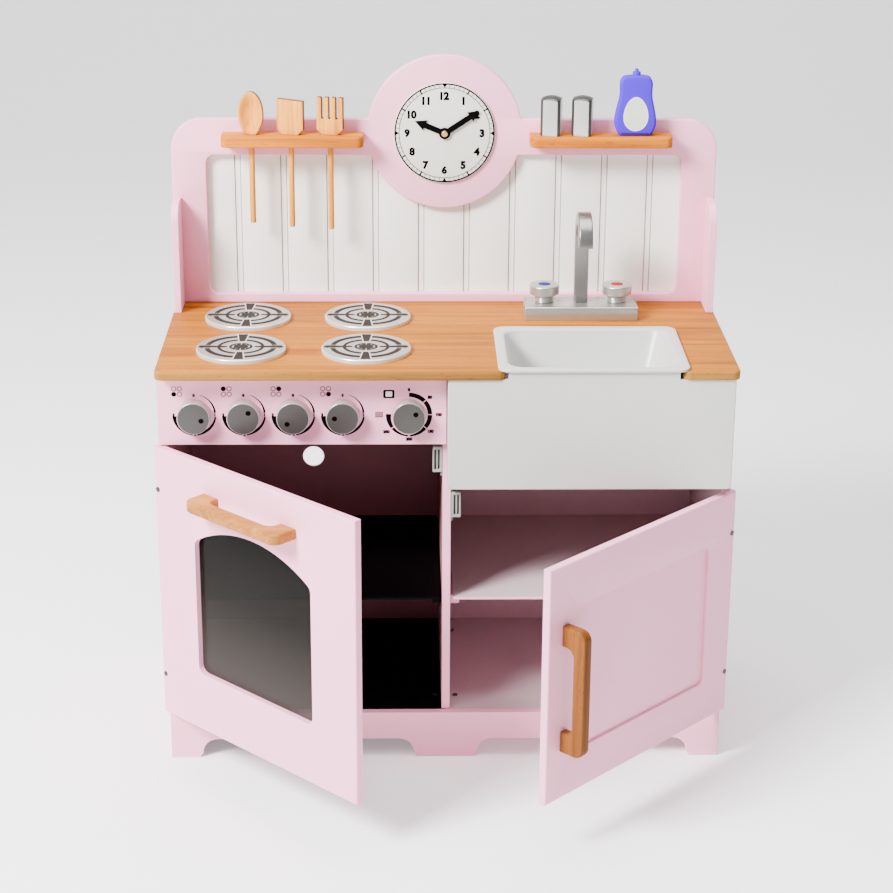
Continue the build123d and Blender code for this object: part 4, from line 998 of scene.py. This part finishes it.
bottle = {"x": 207.2, "half": 7.0, "edge": 3.2, "label": (13.35, 24.2, 18.7),
          # half the outline: points, and the slope at each
          "keys": ((16.5, 0), (22.65, 17), (17.7, 43), (17.8, 55), (12.5, 64.6), (0, 65.6)),
          "slopes": ((9, 9), (-1.0, 24), (-1.4, 16), (0.2, 12), (-11, 2.2), (-14, 0)),
          "spout": ((4.35, 60, 0), (4.35, 69.6, 0.8), (2.0, 69.6, 0.4), (2.0, 72.6, 0.7))}


def smoothLine(keys, slopes, steps=16):
    # cubic pieces through the key points with a given slope at each
    points = []
    for p, q, m, n in zip(keys, keys[1:], slopes, slopes[1:]):
        t = np.linspace(0, 1, steps, endpoint=False)[:, None]
        p, q, m, n = (np.array(v, float) for v in (p, q, m, n))
        points.append((2 * t ** 3 - 3 * t ** 2 + 1) * p + (t ** 3 - 2 * t ** 2 + t) * m
                      + (3 * t ** 2 - 2 * t ** 3) * q + (t ** 3 - t ** 2) * n)
    points.append(np.array([keys[-1]], float))
    return np.concatenate(points)


def makeBottle():
    (x, half, edge), (line, top) = pick(bottle, "x half edge"), pick(shelves, "line top")
    side = smoothLine(bottle["keys"], bottle["slopes"])
    outline = np.concatenate([side[:-1], side[::-1] * (-1, 1)])
    flask = placed(plateShape([outline], edgeProfile(2 * half, edge, edge, 7)), upright, (x, line + half, top))
    spout = placed(lathe(bottle["spout"], 5, 40), level, (x, line, top))
    addPiece("violetBottle", joined([flask, spout]), "bottle", "violetPaint", "bottle", 50)
    wide, middle, tall = bottle["label"]
    a = np.linspace(0, 2 * np.pi, 72, endpoint=False)
    egg = np.stack([wide * np.cos(a) * (1 - 0.16 * np.sin(a)), tall * np.sin(a)], 1)
    border = plateShape([egg * 0.965 + (0, middle), (egg * 0.93 + (0, middle))[::-1]], [(0, 0.03), (0, 0.1)])
    label, front = flatShape(egg + (0, middle)), (x, line - half, top)
    addPrint("bottleLabel", [label], upright, front, "bottle", "labelPaper")
    addPrint("labelBorder", [border], upright, front, "bottle", "labelEdge")


for shelfNode, x in shelves["places"].items():
    makeShelf(shelfNode, x)
makeUtensils()
for shakerNode, (x, holes) in shaker["places"].items():
    makeShaker(shakerNode, x, holes)
makeBottle()
print("shelves filled")


# the bow handles of the two doors

handles = {
    "oven_handle": {"body": "oven_door", "side": -1, "pin": (-300.0, 4.3), "angle": 44.5, "u": 148.0, "z": 327.0,
                    "finish": "handleAcross"},
    "cupboard_handle": {"body": "cupboard_door", "side": 1, "pin": (300.0, 4.3), "angle": 45.3, "u": 274.0,
                        "z": 179.0, "finish": "handleUpright"},
}
bow = {"face": 8.8, "wide": 12.0, "edges": (2.2, 2.2),
       "corners": ((-69, 0, 0), (-47, 0, 0), (-47, 14.5, 9), (47, 14.5, 9), (47, 0, 0), (69, 0, 0), (69, 29, 10.5),
                   (-69, 29, 10.5))}


def makeHandle(node, values):
    # the bow's outline, given its width with rounded edges
    side, a = values["side"], math.radians(values["angle"])
    along = np.array((-side * math.cos(a), -math.sin(a), 0))
    out = np.array((side * math.sin(a), -math.cos(a), 0))
    place = np.array((*values["pin"], values["z"])) + along * values["u"] + out * bow["face"]
    length = along if node == "oven_handle" else np.array((0.0, 0.0, 1.0))
    across = np.cross(length, out)
    addPlate("bow_" + node, [roundedLoop(bow["corners"], 12)], bow["wide"], bow["edges"],
             np.array([length, out, across]), place - across * bow["wide"] / 2, values["body"], values["finish"],
             node)


for handleNode, values in handles.items():
    makeHandle(handleNode, values)
print("handles made")


# the two magnetic catches: a block with a grooved mouth, on a strip with an ear above and below

catches = {"edge": 4.5, "front": 5.2, "width": 10.5, "height": 28.6, "depth": 14.0,
           "bottoms": ((-1, 331.0), (1, 279.8)), "strip": (2.0, 4.8, 9.0), "mouth": (3.0, 8.7, 3.0, 25.2),
           "rib": (5.0, 6.6)}


def catchPart(outlines, thickness, edge, back):
    # drawn for the right-hand catch and mirrored for the left one; outlines after the first are holes
    shapes = []
    for side, bottom in catches["bottoms"]:
        loops = [roundedLoop(corners, 5) * (side, 1) + (side * catches["edge"], bottom) for corners in outlines]
        loops = [loop[::-side if number else side] for number, loop in enumerate(loops)]
        shape = plateShape(loops, edgeProfile(thickness, edge, edge))
        shapes.append(placed(shape, upright, (0, catches["front"] + back, 0)))
    return shapes


def makeCatches():
    wide, high, deep = pick(catches, "width height depth")
    thin, ear, strip = catches["strip"]
    near, far, low, top = catches["mouth"]
    left, right = catches["rib"]
    shells = catchPart([box(0, 0, wide, high, 1.2, 0), box(near, low, far, top, 0.4)], deep, 0.5, deep)
    shells += catchPart([box(0, -ear, thin, high + ear, 0.6, 0)], strip, 0.3, (deep + strip) / 2)
    shells += catchPart([box(left, low - 0.5, right, top + 0.5)], 8.0, 0.2, 9.0)
    grooves = catchPart([box(near - 0.4, low - 0.4, far + 0.4, top + 0.4)], 4.0, 0.2, 8.0)
    addPiece("catchBlocks", joined(shells), "cabinet", "whitePlastic", "magnetic_catches", 40)
    addPiece("catchGrooves", joined(grooves), "cabinet", "greyPlastic", None, 40)


makeCatches()


# small hardware keeps its CAD form

hardware = {
    "oven_window": "clearPane", "clock_pin": "pinBrass", "spindles": "steel", "frame_leaves": "steel",
    "hinge_pins": "steel", "carcass_screws": "pinSteel", "oven_door_leaves": "steel",
    "cupboard_door_leaves": "steel", "oven_door_fixings": "darkSteel", "cupboard_door_fixings": "darkSteel",
}
for node, finishName in hardware.items():
    nodes[node].data.materials.clear()
    nodes[node].data.materials.append(finish[finishName])


# camera and light

camera = {
    "place": (-0.04695, -2.14083, 1.15169),
    "right": (0.99979263, -0.0196132, 0.00547973),
    "up": (0.00164828, 0.34614055, 0.93818122),
    "forward": (0.02029749, 0.93797763, -0.3461011),
    "lens": 88.04,
}


def makeCamera():
    data = bpy.data.cameras.new("camera")
    data.lens = camera["lens"]
    data.sensor_width = 36.0
    data.clip_start = 0.05
    data.clip_end = 50.0
    eye = bpy.data.objects.new("camera", data)
    turn = Matrix([camera["right"], camera["up"], [-v for v in camera["forward"]]]).transposed()
    eye.matrix_world = Matrix.Translation(camera["place"]) @ turn.to_4x4()
    link(eye)
    bpy.context.scene.camera = eye


lights = {
    "key": {"place": (-2.2, -1.9, 2.7), "aim": (0.0, 0.1, 0.4), "size": 1.1, "power": 350},
    "wash": {"place": (-1.5, -1.0, 1.9), "aim": (-0.3, 0.25, 0.55), "size": 0.6, "power": 80},
    "top": {"place": (0.0, 0.0, 2.9), "aim": (0.0, 0.1, 0.4), "size": 2.0, "power": 110},
}


def makeLights():
    for name, values in lights.items():
        data = bpy.data.lights.new(name, "AREA")
        data.energy = values["power"]
        data.size = values["size"]
        lamp = bpy.data.objects.new(name, data)
        lamp.location = values["place"]
        aim = Vector(values["aim"]) - Vector(values["place"])
        lamp.rotation_mode = "QUATERNION"
        lamp.rotation_quaternion = aim.to_track_quat("-Z", "Y")
        link(lamp)
    world = bpy.data.worlds.new("studio")
    world.use_nodes = True
    background = world.node_tree.nodes["Background"].inputs
    background["Color"].default_value = white
    background["Strength"].default_value = 0.4
    bpy.context.scene.world = world


def makeFloor():
    # a floor that curves up into a wall behind, as a sheet of paper does
    line = np.concatenate([np.linspace((-6, 0), (3, 0), 10), arc(3, 2, 2, -90, 0, 12)[1:], [(5, 8)]])
    mesh = bpy.data.meshes.new("floor")
    mesh.from_pydata([(x, y, z) for y, z in line for x in (-9, 9)], [], gridFaces(len(line), 2).tolist())
    mesh.polygons.foreach_set("use_smooth", np.ones(len(mesh.polygons), bool))
    floor = bpy.data.objects.new("floor", mesh)
    link(floor)
    mesh.materials.append(makeFinish("paperFloor", paper))


makeCamera()
makeLights()
makeFloor()

print("scene ready")
